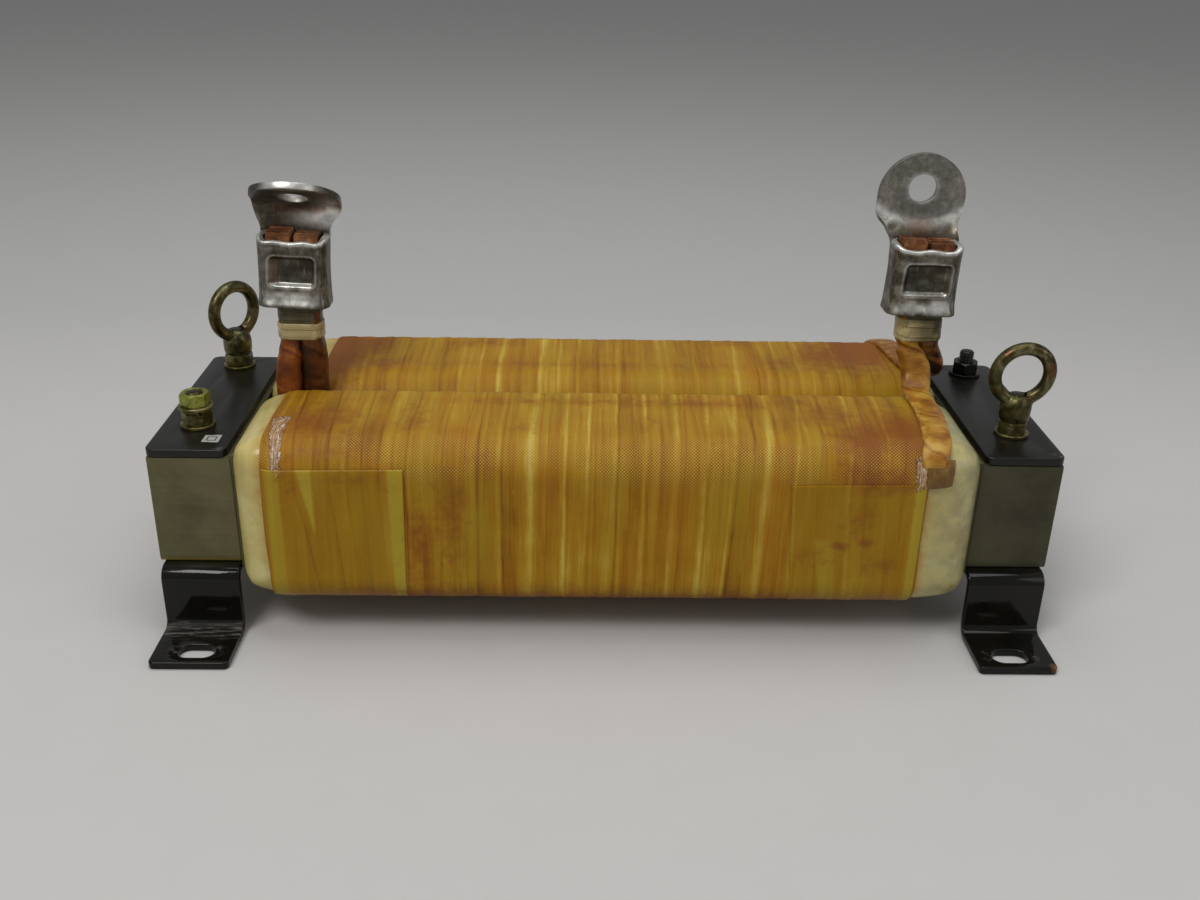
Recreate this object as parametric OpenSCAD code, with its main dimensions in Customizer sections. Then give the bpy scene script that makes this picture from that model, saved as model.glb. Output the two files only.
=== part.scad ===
// Line reactor: two taped coils on a gapped two-limb laminated core,
// clamped by studs between two top plates and four feet, with a crimped
// cable lug on the paired leads at each end.
// Frame in millimetres: X along the core, Y front to back, Z up,
// origin on the floor under the centre. The front is -Y.

/* [Core] */
// Length of the core over both yokes
core_len = 443; // [400:1:520]
// Depth of the core, front to back
core_d = 127; // [122:1:150]
// Height of the stack of laminations
stack_h = 56.8; // [48:0.2:70]
// Width of a limb and of a yoke
limb_w = 40.7; // [36:0.1:43]
// Thickness of the gap board at each end of a limb
gap_t = 1.6; // [0.8:0.1:3]
// Bevel along the long outer edges of a yoke
yoke_bevel = 0.9; // [0.4:0.1:2]

/* [Coils] */
// Space between the two coils along the middle
coil_gap = 1; // [0.6:0.1:4]
// Play between the end of a coil and its yoke
coil_play = 1.8; // [1.2:0.1:4]
// How far a coil stands out in front of its limb
build_out = 18.5; // [15:0.5:26]
// How far a coil stands out above and below its limb
build_v = 16.2; // [14:0.2:24]
// Corner radius of a coil's section
coil_r = 18; // [14:0.5:24]
// Rounding from a coil's sides to its ends
end_r = 22; // [16:0.5:26]
// Thickness of the outer tape
tape_t = 1.3; // [0.8:0.1:2]
// Thickness of the pale wrap under it
wrap_t = 2.4; // [1.4:0.1:3]
// Bare margin of pale wrap at the end of the starting lead
margin_start = 15.4; // [10:0.2:24]
// Bare margin of pale wrap at the end of the finishing lead
margin_finish = 28; // [18:0.5:40]
// Width of one turn of the outer tape that shows
turn_pitch = 10.6; // [8:0.2:16]
// Height of the ridge where one turn laps the next
turn_ridge = 0.7; // [0.3:0.1:0.9]
// Wall of the rectangular former round a limb
former_t = 1.5; // [1:0.1:2.5]
// Play between a limb and its former
former_play = 0.3; // [0.2:0.1:0.8]

/* [Clamp plates] */
// Thickness of a top plate
plate_t = 4; // [3:0.2:6]
// Width of a top plate along the core
plate_w = 38.7; // [34:0.1:40]
// How far a top plate stands out over the end of its yoke
plate_proud = 0.2; // [0:0.1:1]
// Corner radius of a top plate
plate_r = 4; // [2:0.5:7]

/* [Feet] */
// Height of the core above the floor
foot_h = 35.6; // [30:0.2:60]
// Thickness of the folded strip
foot_t = 3.8; // [3:0.1:5]
// Width of a foot along the core
foot_w = 38.2; // [34:0.1:39]
// How far a foot is set in from the end of its yoke
foot_inset = 2.3; // [1:0.1:4]
// Distance from the front of the core to the toe
foot_reach = 41.8; // [36:0.2:60]
// Distance from the front of the core to the upright's face
foot_stand = 9; // [7:0.2:12]
// Length of the flange under the yoke
foot_lap = 42; // [39:1:50]
// Outside radius of the upper fold
fold_top_r = 7; // [5:0.5:9]
// Inside radius of the lower fold
fold_toe_r = 4; // [2:0.5:6]
// Length of the slot in a toe
slot_len = 18; // [13:0.5:22]
// Width of the slot in a toe
slot_w = 11; // [8:0.5:12]
// Distance from the toe's edge to the slot's centre line
slot_edge = 10.3; // [8:0.1:13]
// How far the slot sits inboard of the middle of the foot
slot_shift = 1.6; // [0:0.1:4]

/* [Studs and nuts] */
// Diameter of a clamp stud
stud_d = 8; // [6:0.5:10]
// Distance from the end of a yoke to its studs
stud_inset = 17.6; // [15:0.2:22]
// Distance from the front of the core to the front studs
stud_front = 29.8; // [22:0.1:34]
// Distance from the rear of the core to the rear studs
stud_rear = 14; // [12:0.5:34]
// Width of a nut across its flats
nut_af = 13; // [13:0.5:16]
// Height of a nut
nut_h = 6.3; // [4:0.1:8]
// Outside diameter of a flat washer
washer_d = 17; // [16:0.5:19]
// Thickness of a flat washer
washer_t = 1.6; // [1:0.1:2.5]
// Outside diameter of a spring washer
spring_d = 14.6; // [13:0.1:16]
// Thickness of a spring washer
spring_t = 1.8; // [1.4:0.1:2.6]
// Length of bare stud beyond the painted nut
stud_tip = 6; // [2:0.2:12]
// Wall of the sleeve between a stud and the core
sleeve_t = 0.8; // [0.5:0.1:1.2]

/* [Eye nuts] */
// Outside diameter of the ring
eye_od = 33.6; // [30:0.2:38]
// Diameter of the ring's round section
eye_wire = 6.6; // [5:0.1:8]
// Height of the ring's centre above the base
eye_rise = 24; // [23:0.2:30]
// Diameter of the base
eye_base_d = 16; // [14:0.5:20]
// Turn of the left eye nut about its stud
eye_turn_left = 55; // [0:1:180]
// Turn of the right eye nut about its stud
eye_turn_right = 0; // [0:1:180]

/* [Leads and lugs] */
// Height of the lugs' lower ends above the coils
lead_rise = 41.5; // [34:0.5:60]
// Distance from the end of a coil to the middle of its lug
lug_inset = 21.2; // [20:0.2:28]
// Width of a taped lead
lead_w = 14; // [11:0.5:15]
// Depth of a taped lead
lead_d = 15; // [12:0.5:17]
// Width of one lead where both are bound together
bound_w = 10.6; // [9:0.1:12.5]
// Lean of the left lug towards the right
lean_left = 2.4; // [-4:0.2:4]
// Lean of the right lug towards the right
lean_right = 1; // [-4:0.2:4]
// Thickness of the binding tape round both leads
band_t = 0.6; // [0.3:0.1:1.2]
// Height of the binding tape on the left pair
band_h_left = 8.6; // [6:0.2:12]
// Height of the binding tape on the right pair
band_h_right = 12; // [6:0.2:12.6]
// How far each pair of leads sits to the right of its lug
pair_shift = 1.6; // [0:0.1:2]
// Width of a lug's barrel
barrel_w = 34.6; // [33:0.2:42]
// Depth of a lug's barrel
barrel_d = 20; // [18:0.5:24]
// Height of a lug's barrel
barrel_h = 34.5; // [26:0.5:44]
// Wall of the barrel and thickness of the palm
lug_t = 3.2; // [2.4:0.1:4]
// Width of the palm
palm_w = 44; // [40:0.2:50]
// Diameter of the bolt hole in the palm
hole_d = 14.3; // [10.5:0.1:17]
// Distance from the palm's tip to the centre of the hole
hole_edge = 17.5; // [14:0.5:22]
// Width of the crimp window
window_w = 23; // [16:0.5:26]
// Height of the crimp window
window_h = 15.6; // [10:0.2:20]
// How far the copper strands stand above the barrel
strand_out = 5; // [2:0.5:8]

/* [Hidden] */
$fn = 48;

// Clearance between pieces that are wound, slid or screwed together
fit = 0.1;
// How far a cut runs past the face that it opens
over = 1;

steel_core = "#7d7a66";
black_paint = "#23221f";
chromate = "#8f8748";
tinned = "#9a9b98";
copper = "#8a4a2c";
amber_tape = "#c98a2b";
pale_tape = "#ded9a0";
dark_tape = "#a8601f";

// Core
core_top = foot_h + stack_h;
core_mid = foot_h + stack_h / 2;
limb_y = (core_d - limb_w) / 2;
window_x = core_len / 2 - limb_w;
yoke_x = core_len / 2 - limb_w / 2;
stud_x = core_len / 2 - stud_inset;
stud_front_y = core_d / 2 - stud_front;
stud_rear_y = core_d / 2 - stud_rear;
limb_len = 2 * (window_x - gap_t);

// Coils
coil_end = window_x - coil_play;
coil_in = coil_gap / 2;
coil_out = core_d / 2 + build_out;
coil_w = coil_out - coil_in;
coil_y = (coil_in + coil_out) / 2;
coil_h = stack_h + 2 * build_v;
coil_top = core_top + build_v;
former_w = limb_w + 2 * (former_play + former_t);
former_h = stack_h + 2 * (former_play + former_t);

// Hardware heights, from the floor
plate_top = core_top + plate_t;
washer_top = plate_top + washer_t;
nut_top = washer_top + nut_h;
spring_top = nut_top + spring_t;
terminal_washer_top = spring_top + washer_t;
terminal_top = terminal_washer_top + nut_h;
bottom_washer_z = foot_h - foot_t - washer_t;
bottom_nut_z = bottom_washer_z - nut_h;
bottom_tip = 3;
terminal_tip = 0.4;
stud_hole_d = stud_d + 2 * (sleeve_t + 2 * fit);

// Leads and lugs
lug_x = coil_end - lug_inset;
lug_z = coil_top + lead_rise;
band_z_left = lug_z - 9.4 - band_h_left;
band_z_right = lug_z - 3 - band_h_right;
eye_ring_r = (eye_od - eye_wire) / 2;
foot_x = core_len / 2 - foot_inset - foot_w / 2;
toe_y = core_d / 2 + foot_reach;
web_y = core_d / 2 + foot_stand;

// ---------------------------------------------------------------- outlines

// Rectangle with true arcs at its corners
module rounded_rect(w, h, r)
{
    square([w - 2 * r, h], center = true);
    square([w, h - 2 * r], center = true);
    for (sx = [-1, 1], sy = [-1, 1])
        translate([sx * (w / 2 - r), sy * (h / 2 - r)]) circle(r);
}

// Extrusion along X of an outline drawn in Y and Z, centred on X = 0
module along_x(len)
{
    rotate([90, 0, 90]) linear_extrude(len, center = true) children();
}

// Extrusion along Y of an outline drawn in X and Z, centred on Y = 0
module along_y(len)
{
    rotate([90, 0, 0]) linear_extrude(len, center = true) children();
}

// Copies a piece of the front coil to the rear, turned half round
module coil_side(rear)
{
    rotate([0, 0, rear ? 180 : 0]) children();
}

// ---------------------------------------------------------------- core

module yoke(side)
{
    color(steel_core)
    difference()
    {
        translate([side * yoke_x, 0, core_mid])
        difference()
        {
            cube([limb_w, core_d, stack_h], center = true);
            for (sz = [-1, 1])
                translate([side * limb_w / 2, 0, sz * stack_h / 2])
                rotate([0, 45, 0])
                cube([yoke_bevel * sqrt(2), core_d + 2 * over, yoke_bevel * sqrt(2)],
                     center = true);
        }
        at_studs(side_studs(side))
        translate([0, 0, foot_h - over])
        cylinder(h = stack_h + 2 * over, d = stud_hole_d);
    }
}

module limb(side)
{
    color(steel_core)
    translate([0, side * limb_y, core_mid])
    cube([limb_len, limb_w, stack_h], center = true);
}

module gap_board(side_x, side_y)
{
    color("#c9c79a")
    translate([side_x * (window_x - gap_t / 2), side_y * limb_y, core_mid])
    cube([gap_t, limb_w, stack_h], center = true);
}

// ---------------------------------------------------------------- coils

// Outer form of a coil, drawn in from its finished surface by an inset:
// a rounded section whose ends roll over on all four sides
module coil_body(inset)
{
    w = coil_w - 2 * inset;
    h = coil_h - 2 * inset;
    len = 2 * (coil_end - inset);
    roll = end_r - inset;
    translate([0, -coil_y, core_mid])
    intersection()
    {
        along_x(len) rounded_rect(w, h, coil_r - inset);
        along_y(w + over) rounded_rect(len, h, roll);
        linear_extrude(h + over, center = true) rounded_rect(len, w, roll);
    }
}

// Block that the former takes up, grown by a clearance
module former_block(grow, len)
{
    translate([0, -limb_y, core_mid])
    cube([len, former_w + 2 * grow, former_h + 2 * grow], center = true);
}

module former(rear)
{
    len = 2 * (window_x - 4 * fit);
    color("#c9c79a")
    coil_side(rear)
    difference()
    {
        former_block(0, len);
        translate([0, -limb_y, core_mid])
        cube([len + over, limb_w + 2 * former_play, stack_h + 2 * former_play],
             center = true);
    }
}

module winding(rear)
{
    color(copper)
    coil_side(rear)
    difference()
    {
        coil_body(tape_t + wrap_t + fit);
        former_block(fit, core_len);
    }
}

module pale_wrap(rear)
{
    color(pale_tape)
    coil_side(rear)
    difference()
    {
        coil_body(tape_t + fit);
        coil_body(tape_t + wrap_t);
        former_block(fit, core_len);
    }
}

tape_from = -(coil_end - margin_start);
tape_to = coil_end - margin_finish;
turns = round((tape_to - tape_from) / turn_pitch);
turn_w = (tape_to - tape_from) / turns;

// Edge of a turn: hand-wound, so the pitch wanders a little
function turn_edge(i) = tape_from + turn_w * i
    + (i == 0 || i == turns ? 0 : 0.22 * turn_w * sin(137 * i));
// Far side of a turn, which runs a little under its neighbour
function turn_far(i) = min(turn_edge(i + 1) + 0.06 * turn_pitch, tape_to);
// Height of a turn over the lowest one
function turn_rise(i) = turn_ridge * (0.5 + 0.5 * sin(197 * i + 40));

module tape_wrap(rear)
{
    color(amber_tape)
    coil_side(rear)
    difference()
    {
        intersection()
        {
            for (i = [0 : turns - 1])
                translate([(turn_edge(i) + turn_far(i)) / 2, -coil_y, core_mid])
                along_x(turn_far(i) - turn_edge(i))
                rounded_rect(coil_w - 2 * (turn_ridge - turn_rise(i)),
                             coil_h - 2 * (turn_ridge - turn_rise(i)),
                             coil_r - turn_ridge + turn_rise(i));
            coil_body(0);
        }
        coil_body(tape_t);
    }
}

// ---------------------------------------------------------------- leads

// Ring of points round a lead: width along X, depth across the path
ring_n = 16;
function ring_point(w, d, k) =
    let (a = 360 * (k + 0.5) / ring_n, e = 0.45)
    [w / 2 * sign(cos(a)) * pow(abs(cos(a)), e),
     d / 2 * sign(sin(a)) * pow(abs(sin(a)), e)];

// Heading of the path at station i, in the YZ plane
function heading(s, i) =
    let (a = s[max(i - 1, 0)], b = s[min(i + 1, len(s) - 1)])
    atan2(b[2] - a[2], b[1] - a[1]);

function station_ring(s, i) = [
    for (k = [0 : ring_n - 1])
        let (p = ring_point(s[i][3], s[i][4], k), h = heading(s, i))
        [s[i][0] + p[0], s[i][1] + p[1] * sin(h), s[i][2] - p[1] * cos(h)]
];

// Taped strap swept through stations of [x, y, z, width, depth]
module strap(s)
{
    n = len(s);
    points = [for (i = [0 : n - 1]) each station_ring(s, i)];
    sides = [
        for (i = [0 : n - 2], k = [0 : ring_n - 1])
            let (a = i * ring_n + k, b = i * ring_n + (k + 1) % ring_n)
            [a, a + ring_n, b + ring_n, b]
    ];
    ends = [
        [for (k = [0 : ring_n - 1]) k],
        [for (k = [0 : ring_n - 1]) n * ring_n - 1 - k]
    ];
    polyhedron(points, concat(sides, ends), convexity = 4);
}

strap_t = 4;
bound_d = lead_d - 1;
pair_w = 2 * bound_w + 7 * fit;
lead_top = lug_z + 1;

// Line where the two leads of a pair meet, as [height, shift outwards]
seam_left = [[coil_top - 14, 2], [coil_top + 7, 1.4], [coil_top + 12, 0.9],
             [coil_top + 17, 0.4], [band_z_left - 3, 0.1], [band_z_left - 1, 0],
             [lead_top, 0]];
seam_right = [[coil_top - 14, 7.4], [coil_top + 7, 7.4], [coil_top + 12, 7],
              [coil_top + 19, 4.2], [band_z_right - 3, 0.8], [band_z_right - 1, 0],
              [lead_top, 0]];

// Station against the seam; out is 1 for the outer lead, -1 for the inner
function by_seam(i, side, out, y, w, d) =
    let (p = (side < 0 ? seam_left : seam_right)[i], apart = (i == 3 ? 7 : 2.2) * fit)
    [side * (lug_x + p[1] + out * (apart + w / 2)) + pair_shift, y, p[0], w, d];

// Starting lead: up out of the valley between the coils, at the left end
function start_stations(row, out) = [
    by_seam(0, -1, out, 2 * row, 12, 9),
    by_seam(1, -1, out, 1.4 * row, 13.6, 13),
    by_seam(2, -1, out, row, 13.4, bound_d),
    by_seam(3, -1, out, 0.4 * row, 12.2, bound_d),
    by_seam(4, -1, out, 0, bound_w, bound_d - 0.6),
    by_seam(5, -1, out, 0, bound_w, bound_d),
    by_seam(6, -1, out, 0, bound_w, bound_d - 0.6)
];

// Finishing lead: off the outer face of its coil, over the top and up
strap_seat = coil_top - tape_t + strap_t / 2 + fit;
strap_x = lug_x - lead_w / 2;
function finish_stations(row, out) =
    let (y = row * coil_out, drift = out < 0 ? 0 : 1, rise_w = out < 0 ? lead_w : 9.4)
    [
        [strap_x + 1.6 + 5 * drift, y + row * 1.6, coil_top - 20, lead_w - 2, 3],
        [strap_x + 1.8 + 5 * drift, y + row * 1.2, coil_top - 12, lead_w - 1, 4],
        [strap_x + 2.8 + 5 * drift, y - row * 3.4, coil_top - 2.8, lead_w, strap_t],
        [strap_x + 4.6 + 5 * drift, y - row * 12, strap_seat - 0.6, lead_w, strap_t],
        [strap_x + 6.4 + 5 * drift, y - row * 26, strap_seat, lead_w, strap_t],
        [strap_x + 8.4 + 6 * drift, y - row * 50, strap_seat, lead_w, strap_t],
        [strap_x + 8 + 9 * drift, y - row * 66, strap_seat + 0.8, lead_w - 2 * drift,
         strap_t + 0.6],
        by_seam(1, 1, out, row * 6.5, rise_w, 8),
        by_seam(2, 1, out, row * 3, rise_w, 11.5),
        by_seam(3, 1, out, row, rise_w, bound_d - 2),
        by_seam(4, 1, out, row * 0.2, bound_w, bound_d - 1.2),
        by_seam(5, 1, out, 0, bound_w, bound_d),
        by_seam(6, 1, out, 0, bound_w, bound_d - 0.6)
    ];

// Room that the outer tape takes up on the front coil
module tape_space()
{
    intersection()
    {
        coil_body(-fit);
        translate([tape_from - fit, -core_d, 0])
        cube([tape_to - tape_from + 2 * fit, core_d, 2 * coil_top]);
    }
}

// Lead swept through its stations and trimmed to lie on both coils
module lead(stations)
{
    color(dark_tape)
    difference()
    {
        strap(stations);
        for (rear = [false, true])
            coil_side(rear)
            {
                coil_body(tape_t);
                tape_space();
            }
    }
}

module lead_band(side, base_z, height)
{
    inner_d = bound_d + 2 * fit;
    color(pale_tape)
    translate([side * lug_x + pair_shift, 0, base_z])
    linear_extrude(height)
    difference()
    {
        rounded_rect(pair_w + 2 * band_t, inner_d + 2 * band_t, 3);
        square([pair_w, inner_d], center = true);
    }
}

// ---------------------------------------------------------------- lugs

bore_w = barrel_w - 2 * lug_t;
bore_d = barrel_d - 2 * lug_t;

// Frame of a lug: base of the barrel, leaning with it
module at_lug(side)
{
    translate([side * lug_x, 0, lug_z])
    rotate([0, side < 0 ? lean_left : lean_right, 0])
    children();
}

// Two pressed blocks of bare strands, one from each lead
module strands(side)
{
    block_w = bore_w / 2 - 2 * fit;
    sunk = 2;
    color(copper)
    difference()
    {
        at_lug(side)
        for (sx = [-1, 1])
            translate([sx * (block_w / 2 + fit), 0, -sunk])
            linear_extrude(barrel_h + strand_out + sunk)
            rounded_rect(block_w, bore_d - 4 * fit, 2.4);
        translate([side * lug_x - barrel_w, -barrel_d, lead_top + fit - barrel_h])
        cube([2 * barrel_w, 2 * barrel_d, barrel_h]);
    }
}

// Outline of the palm and its shoulders seen square on, base at y = 0
module palm_outline(length)
{
    tip_r = palm_w / 2;
    shoulder = 13;
    translate([0, length - tip_r]) circle(tip_r);
    translate([-tip_r, shoulder]) square([palm_w, length - tip_r - shoulder]);
    polygon([[-barrel_w / 2 + 1, -over], [barrel_w / 2 - 1, -over],
             [barrel_w / 2 - 1, 0], [tip_r, shoulder],
             [-tip_r, shoulder], [-barrel_w / 2 + 1, 0]]);
}

// Sheet bent in the YZ plane through runs of [length, turn], starting up.
// A positive turn bends towards the front.
bend_steps = 6;
function run_turn(runs, k) = k < 0 ? 0 : runs[k][1] + run_turn(runs, k - 1);
function run_points(runs, k = 0, p = [0, 0], h = 0) =
    k == len(runs) ? [[p, h]] :
    let (step = runs[k][0] / bend_steps, turn = runs[k][1] / bend_steps,
         walk = [for (i = 0, q = p, a = h; i < bend_steps;
                      q = q + step * [-sin(a + turn / 2), cos(a + turn / 2)],
                      a = a + turn, i = i + 1) [q, a]],
         last = walk[bend_steps - 1],
         a_end = last[1] + turn,
         q_end = last[0] + step * [-sin(last[1] + turn / 2), cos(last[1] + turn / 2)])
    concat(walk, run_points(runs, k + 1, q_end, a_end));

module bent_sheet(runs, width, t)
{
    path = run_points(runs);
    function side_points(s) =
        [for (w = path) w[0] + s * t / 2 * [cos(w[1]), sin(w[1])]];
    along_x(width)
    polygon(concat(side_points(1),
                   [for (i = [len(path) - 1 : -1 : 0]) side_points(-1)[i]]));
}

module barrel()
{
    flare = 0.6;
    flare_h = 4;
    difference()
    {
        union()
        {
            linear_extrude(barrel_h) rounded_rect(barrel_w, barrel_d, 5);
            linear_extrude(flare_h)
            rounded_rect(barrel_w + 2 * flare, barrel_d + 2 * flare, 5 + flare);
        }
        translate([0, 0, -over])
        linear_extrude(barrel_h + 2 * over) rounded_rect(bore_w, bore_d, 2.6);
        // crimp window, pressed into the front wall
        translate([0, -barrel_d / 2, barrel_h / 2])
        along_y(1.4 * lug_t) rounded_rect(window_w, window_h, 2.5);
        // seam where the rolled sheet meets
        translate([0, -barrel_d / 2, 0])
        cube([0.8, 1.2, barrel_h - window_h], center = true);
    }
}

// Palm of the right lug: set back from the barrel, then upright
right_runs = [[5, -26], [4, -8], [7, 34], [27.4, 0]];
right_shift = -2.4;
// Palm of the left lug: bent well over towards the front
left_runs = [[4.2, -6], [4.4, 8], [12, 60], [22, 0]];
left_shift = 0.8;

function runs_length(runs, k = 0) =
    k == len(runs) ? 0 : runs[k][0] + runs_length(runs, k + 1);
function runs_turn(runs, k = 0) =
    k == len(runs) ? 0 : runs[k][1] + runs_turn(runs, k + 1);
function runs_end(runs) = run_points(runs)[len(runs) * bend_steps][0];

// Palm with its base at the top of the barrel's back wall
module palm(runs, shift)
{
    tip = runs_end(runs);
    lean = runs_turn(runs);
    straight = runs[len(runs) - 1][0];
    length = runs_length(runs);
    translate([shift, barrel_d / 2 - lug_t / 2, barrel_h])
    difference()
    {
        intersection()
        {
            bent_sheet(runs, palm_w + over, lug_t);
            union()
            {
                // square to the straight part, measured back from its tip
                translate([0, tip[0], tip[1]])
                rotate([lean, 0, 0])
                translate([0, 0, -length])
                intersection()
                {
                    along_y(4 * palm_w) palm_outline(length);
                    translate([-palm_w, -2 * lug_t, length - straight - palm_w / 8])
                    cube([2 * palm_w, 4 * lug_t, 2 * straight]);
                }
                // the shoulders, square to the barrel
                intersection()
                {
                    along_y(4 * palm_w) palm_outline(2 * length);
                    translate([-palm_w, -palm_w, -over])
                    cube([2 * palm_w, 2 * palm_w, length - straight + over]);
                }
            }
        }
        translate([0, tip[0], tip[1]])
        rotate([lean, 0, 0])
        translate([0, 0, -hole_edge])
        rotate([90, 0, 0])
        cylinder(h = 6 * lug_t, d = hole_d, center = true);
    }
}

module lug(side, runs, shift)
{
    color(tinned)
    at_lug(side)
    {
        barrel();
        palm(runs, shift);
    }
}

// ---------------------------------------------------------------- clamps

module top_plate(side)
{
    plate_x = core_len / 2 + plate_proud - plate_w / 2;
    plate_len = core_d + 2 * plate_proud;
    color(black_paint)
    difference()
    {
        translate([side * plate_x, 0, core_top])
        linear_extrude(plate_t) rounded_rect(plate_w, plate_len, plate_r);
        at_studs(side_studs(side))
        translate([0, 0, core_top - over])
        cylinder(h = plate_t + 2 * over, d = stud_d + 1);
    }
}

// Quarter of a ring between two radii, in the quadrant from angle a
module fold_section(r_in, r_out, a)
{
    intersection()
    {
        difference()
        {
            circle(r_out);
            circle(r_in);
        }
        rotate(a) square(r_out + over);
    }
}

// Folded strip in section: flange under the yoke, upright, toe on the floor
module foot_section()
{
    toe_bend_y = web_y + fold_toe_r;
    toe_bend_z = foot_t + fold_toe_r;
    top_bend_y = web_y - fold_top_r;
    top_bend_z = foot_h - fold_top_r;
    lap_y = core_d / 2 - foot_lap;
    translate([lap_y, foot_h - foot_t]) square([top_bend_y - lap_y, foot_t]);
    translate([top_bend_y, top_bend_z])
    fold_section(fold_top_r - foot_t, fold_top_r, 0);
    translate([web_y - foot_t, toe_bend_z]) square([foot_t, top_bend_z - toe_bend_z]);
    translate([toe_bend_y, toe_bend_z])
    fold_section(fold_toe_r, fold_toe_r + foot_t, 180);
    translate([toe_bend_y, 0]) square([toe_y - toe_bend_y, foot_t]);
}

module slot(length, width, depth)
{
    linear_extrude(depth)
    {
        square([length - width, width], center = true);
        for (sx = [-1, 1]) translate([sx * (length - width) / 2, 0]) circle(width / 2);
    }
}

module foot(side_x, side_y)
{
    color(black_paint)
    difference()
    {
        translate([side_x * foot_x, 0, 0])
        mirror([0, side_y < 0 ? 1 : 0, 0])
        along_x(foot_w) foot_section();
        at_studs([[side_x, side_y]])
        translate([0, 0, foot_h - foot_t - over])
        cylinder(h = foot_t + 2 * over, d = stud_d + 1);
        translate([side_x * (foot_x - slot_shift), side_y * (toe_y - slot_edge), -over])
        slot(slot_len, slot_w, foot_t + 2 * over);
    }
}

// ---------------------------------------------------------------- hardware

// Runs its children at each clamp stud; list holds [side_x, side_y]
all_studs = [[-1, -1], [1, -1], [-1, 1], [1, 1]];
function side_studs(side) = [[side, -1], [side, 1]];
module at_studs(list)
{
    for (s = list)
        translate([s[0] * stud_x, s[1] < 0 ? -stud_front_y : stud_rear_y, 0])
        children();
}

module flat_washer(d, t, bore)
{
    difference()
    {
        cylinder(h = t, d = d);
        translate([0, 0, -over]) cylinder(h = t + 2 * over, d = bore);
    }
}

// Hexagon nut with both faces turned to a cone at the corners
module hex_nut(h)
{
    corner = nut_af / cos(30);
    cone = (corner - nut_af) / 2;
    difference()
    {
        intersection()
        {
            cylinder(h = h, d = corner, $fn = 6);
            union()
            {
                cylinder(h = cone * 0.6, d1 = nut_af, d2 = corner);
                translate([0, 0, cone * 0.6]) cylinder(h = h - 1.2 * cone, d = corner);
                translate([0, 0, h - cone * 0.6])
                cylinder(h = cone * 0.6, d1 = corner, d2 = nut_af);
            }
        }
        translate([0, 0, -over]) cylinder(h = h + 2 * over, d = stud_d + 2 * fit);
    }
}

module stud(z0, z1)
{
    bevel = 0.8;
    translate([0, 0, z0]) cylinder(h = bevel, d1 = stud_d - 2 * bevel, d2 = stud_d);
    translate([0, 0, z0 + bevel]) cylinder(h = z1 - z0 - 2 * bevel, d = stud_d);
    translate([0, 0, z1 - bevel]) cylinder(h = bevel, d1 = stud_d, d2 = stud_d - 2 * bevel);
}

module clamp_studs()
{
    z0 = bottom_nut_z - bottom_tip;
    color(chromate)
    {
        at_studs([[-1, -1]]) stud(z0, terminal_top + terminal_tip);
        at_studs([[-1, 1], [1, -1]]) stud(z0, nut_top + eye_rise - eye_od / 2 + eye_wire);
        at_studs([[1, 1]]) stud(z0, nut_top + stud_tip);
    }
}

module stud_sleeves()
{
    color("#b9b48a")
    at_studs(all_studs)
    translate([0, 0, foot_h + fit])
    flat_washer(stud_d + 2 * (sleeve_t + fit), stack_h - 2 * fit, stud_d + 2 * fit);
}

bright_studs = [[-1, -1], [-1, 1], [1, -1]];

module top_washers()
{
    color(chromate)
    at_studs(bright_studs)
    translate([0, 0, plate_top]) flat_washer(washer_d, washer_t, stud_d + 2 * fit);
}

module painted_washer()
{
    color(black_paint)
    at_studs([[1, 1]])
    translate([0, 0, plate_top]) flat_washer(washer_d, washer_t, stud_d + 2 * fit);
}

module top_nuts()
{
    color(chromate)
    at_studs(bright_studs) translate([0, 0, washer_top]) hex_nut(nut_h);
}

module painted_nut()
{
    color(black_paint)
    at_studs([[1, 1]]) translate([0, 0, washer_top]) rotate(12) hex_nut(nut_h);
}

// Split ring: the ends of the coil meet at a slanting gap
module terminal_spring_washer()
{
    gap = 1.2;
    color(chromate)
    at_studs([[-1, -1]])
    translate([0, 0, nut_top])
    difference()
    {
        flat_washer(spring_d, spring_t, stud_d + 2 * fit);
        rotate(30)
        translate([0, spring_d / 2, spring_t / 2])
        rotate([0, 25, 0])
        cube([gap, spring_d, 3 * spring_t], center = true);
    }
}

module terminal_washer()
{
    color(chromate)
    at_studs([[-1, -1]])
    translate([0, 0, spring_top]) flat_washer(washer_d, washer_t, stud_d + 2 * fit);
}

module terminal_nut()
{
    color(chromate)
    at_studs([[-1, -1]])
    translate([0, 0, terminal_washer_top]) rotate(24) hex_nut(nut_h);
}

// Ring on a turned base, the two blended by a waisted neck
module eye_nut(side_x, side_y, turn)
{
    neck_h = eye_rise - eye_ring_r;
    waist = 13.6;
    lip = 0.6;
    color(chromate)
    at_studs([[side_x, side_y]])
    translate([0, 0, nut_top])
    rotate(turn)
    difference()
    {
        union()
        {
            translate([0, 0, eye_rise])
            rotate([90, 0, 0])
            rotate_extrude() translate([eye_ring_r, 0]) circle(d = eye_wire);
            rotate_extrude()
            polygon([[0, 0], [eye_base_d / 2 - lip, 0], [eye_base_d / 2, lip],
                     [eye_base_d / 2, neck_h * 0.45], [waist / 2, neck_h * 0.85],
                     [waist / 2 - 1.6, neck_h + 1], [0, neck_h + 1]]);
        }
        translate([0, 0, -over])
        cylinder(h = eye_rise, d = stud_d + 2 * fit);
    }
}

module bottom_washers()
{
    color(chromate)
    at_studs(all_studs)
    translate([0, 0, bottom_washer_z]) flat_washer(washer_d, washer_t, stud_d + 2 * fit);
}

module bottom_nuts()
{
    color(chromate)
    at_studs(all_studs) translate([0, 0, bottom_nut_z]) hex_nut(nut_h);
}

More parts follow.
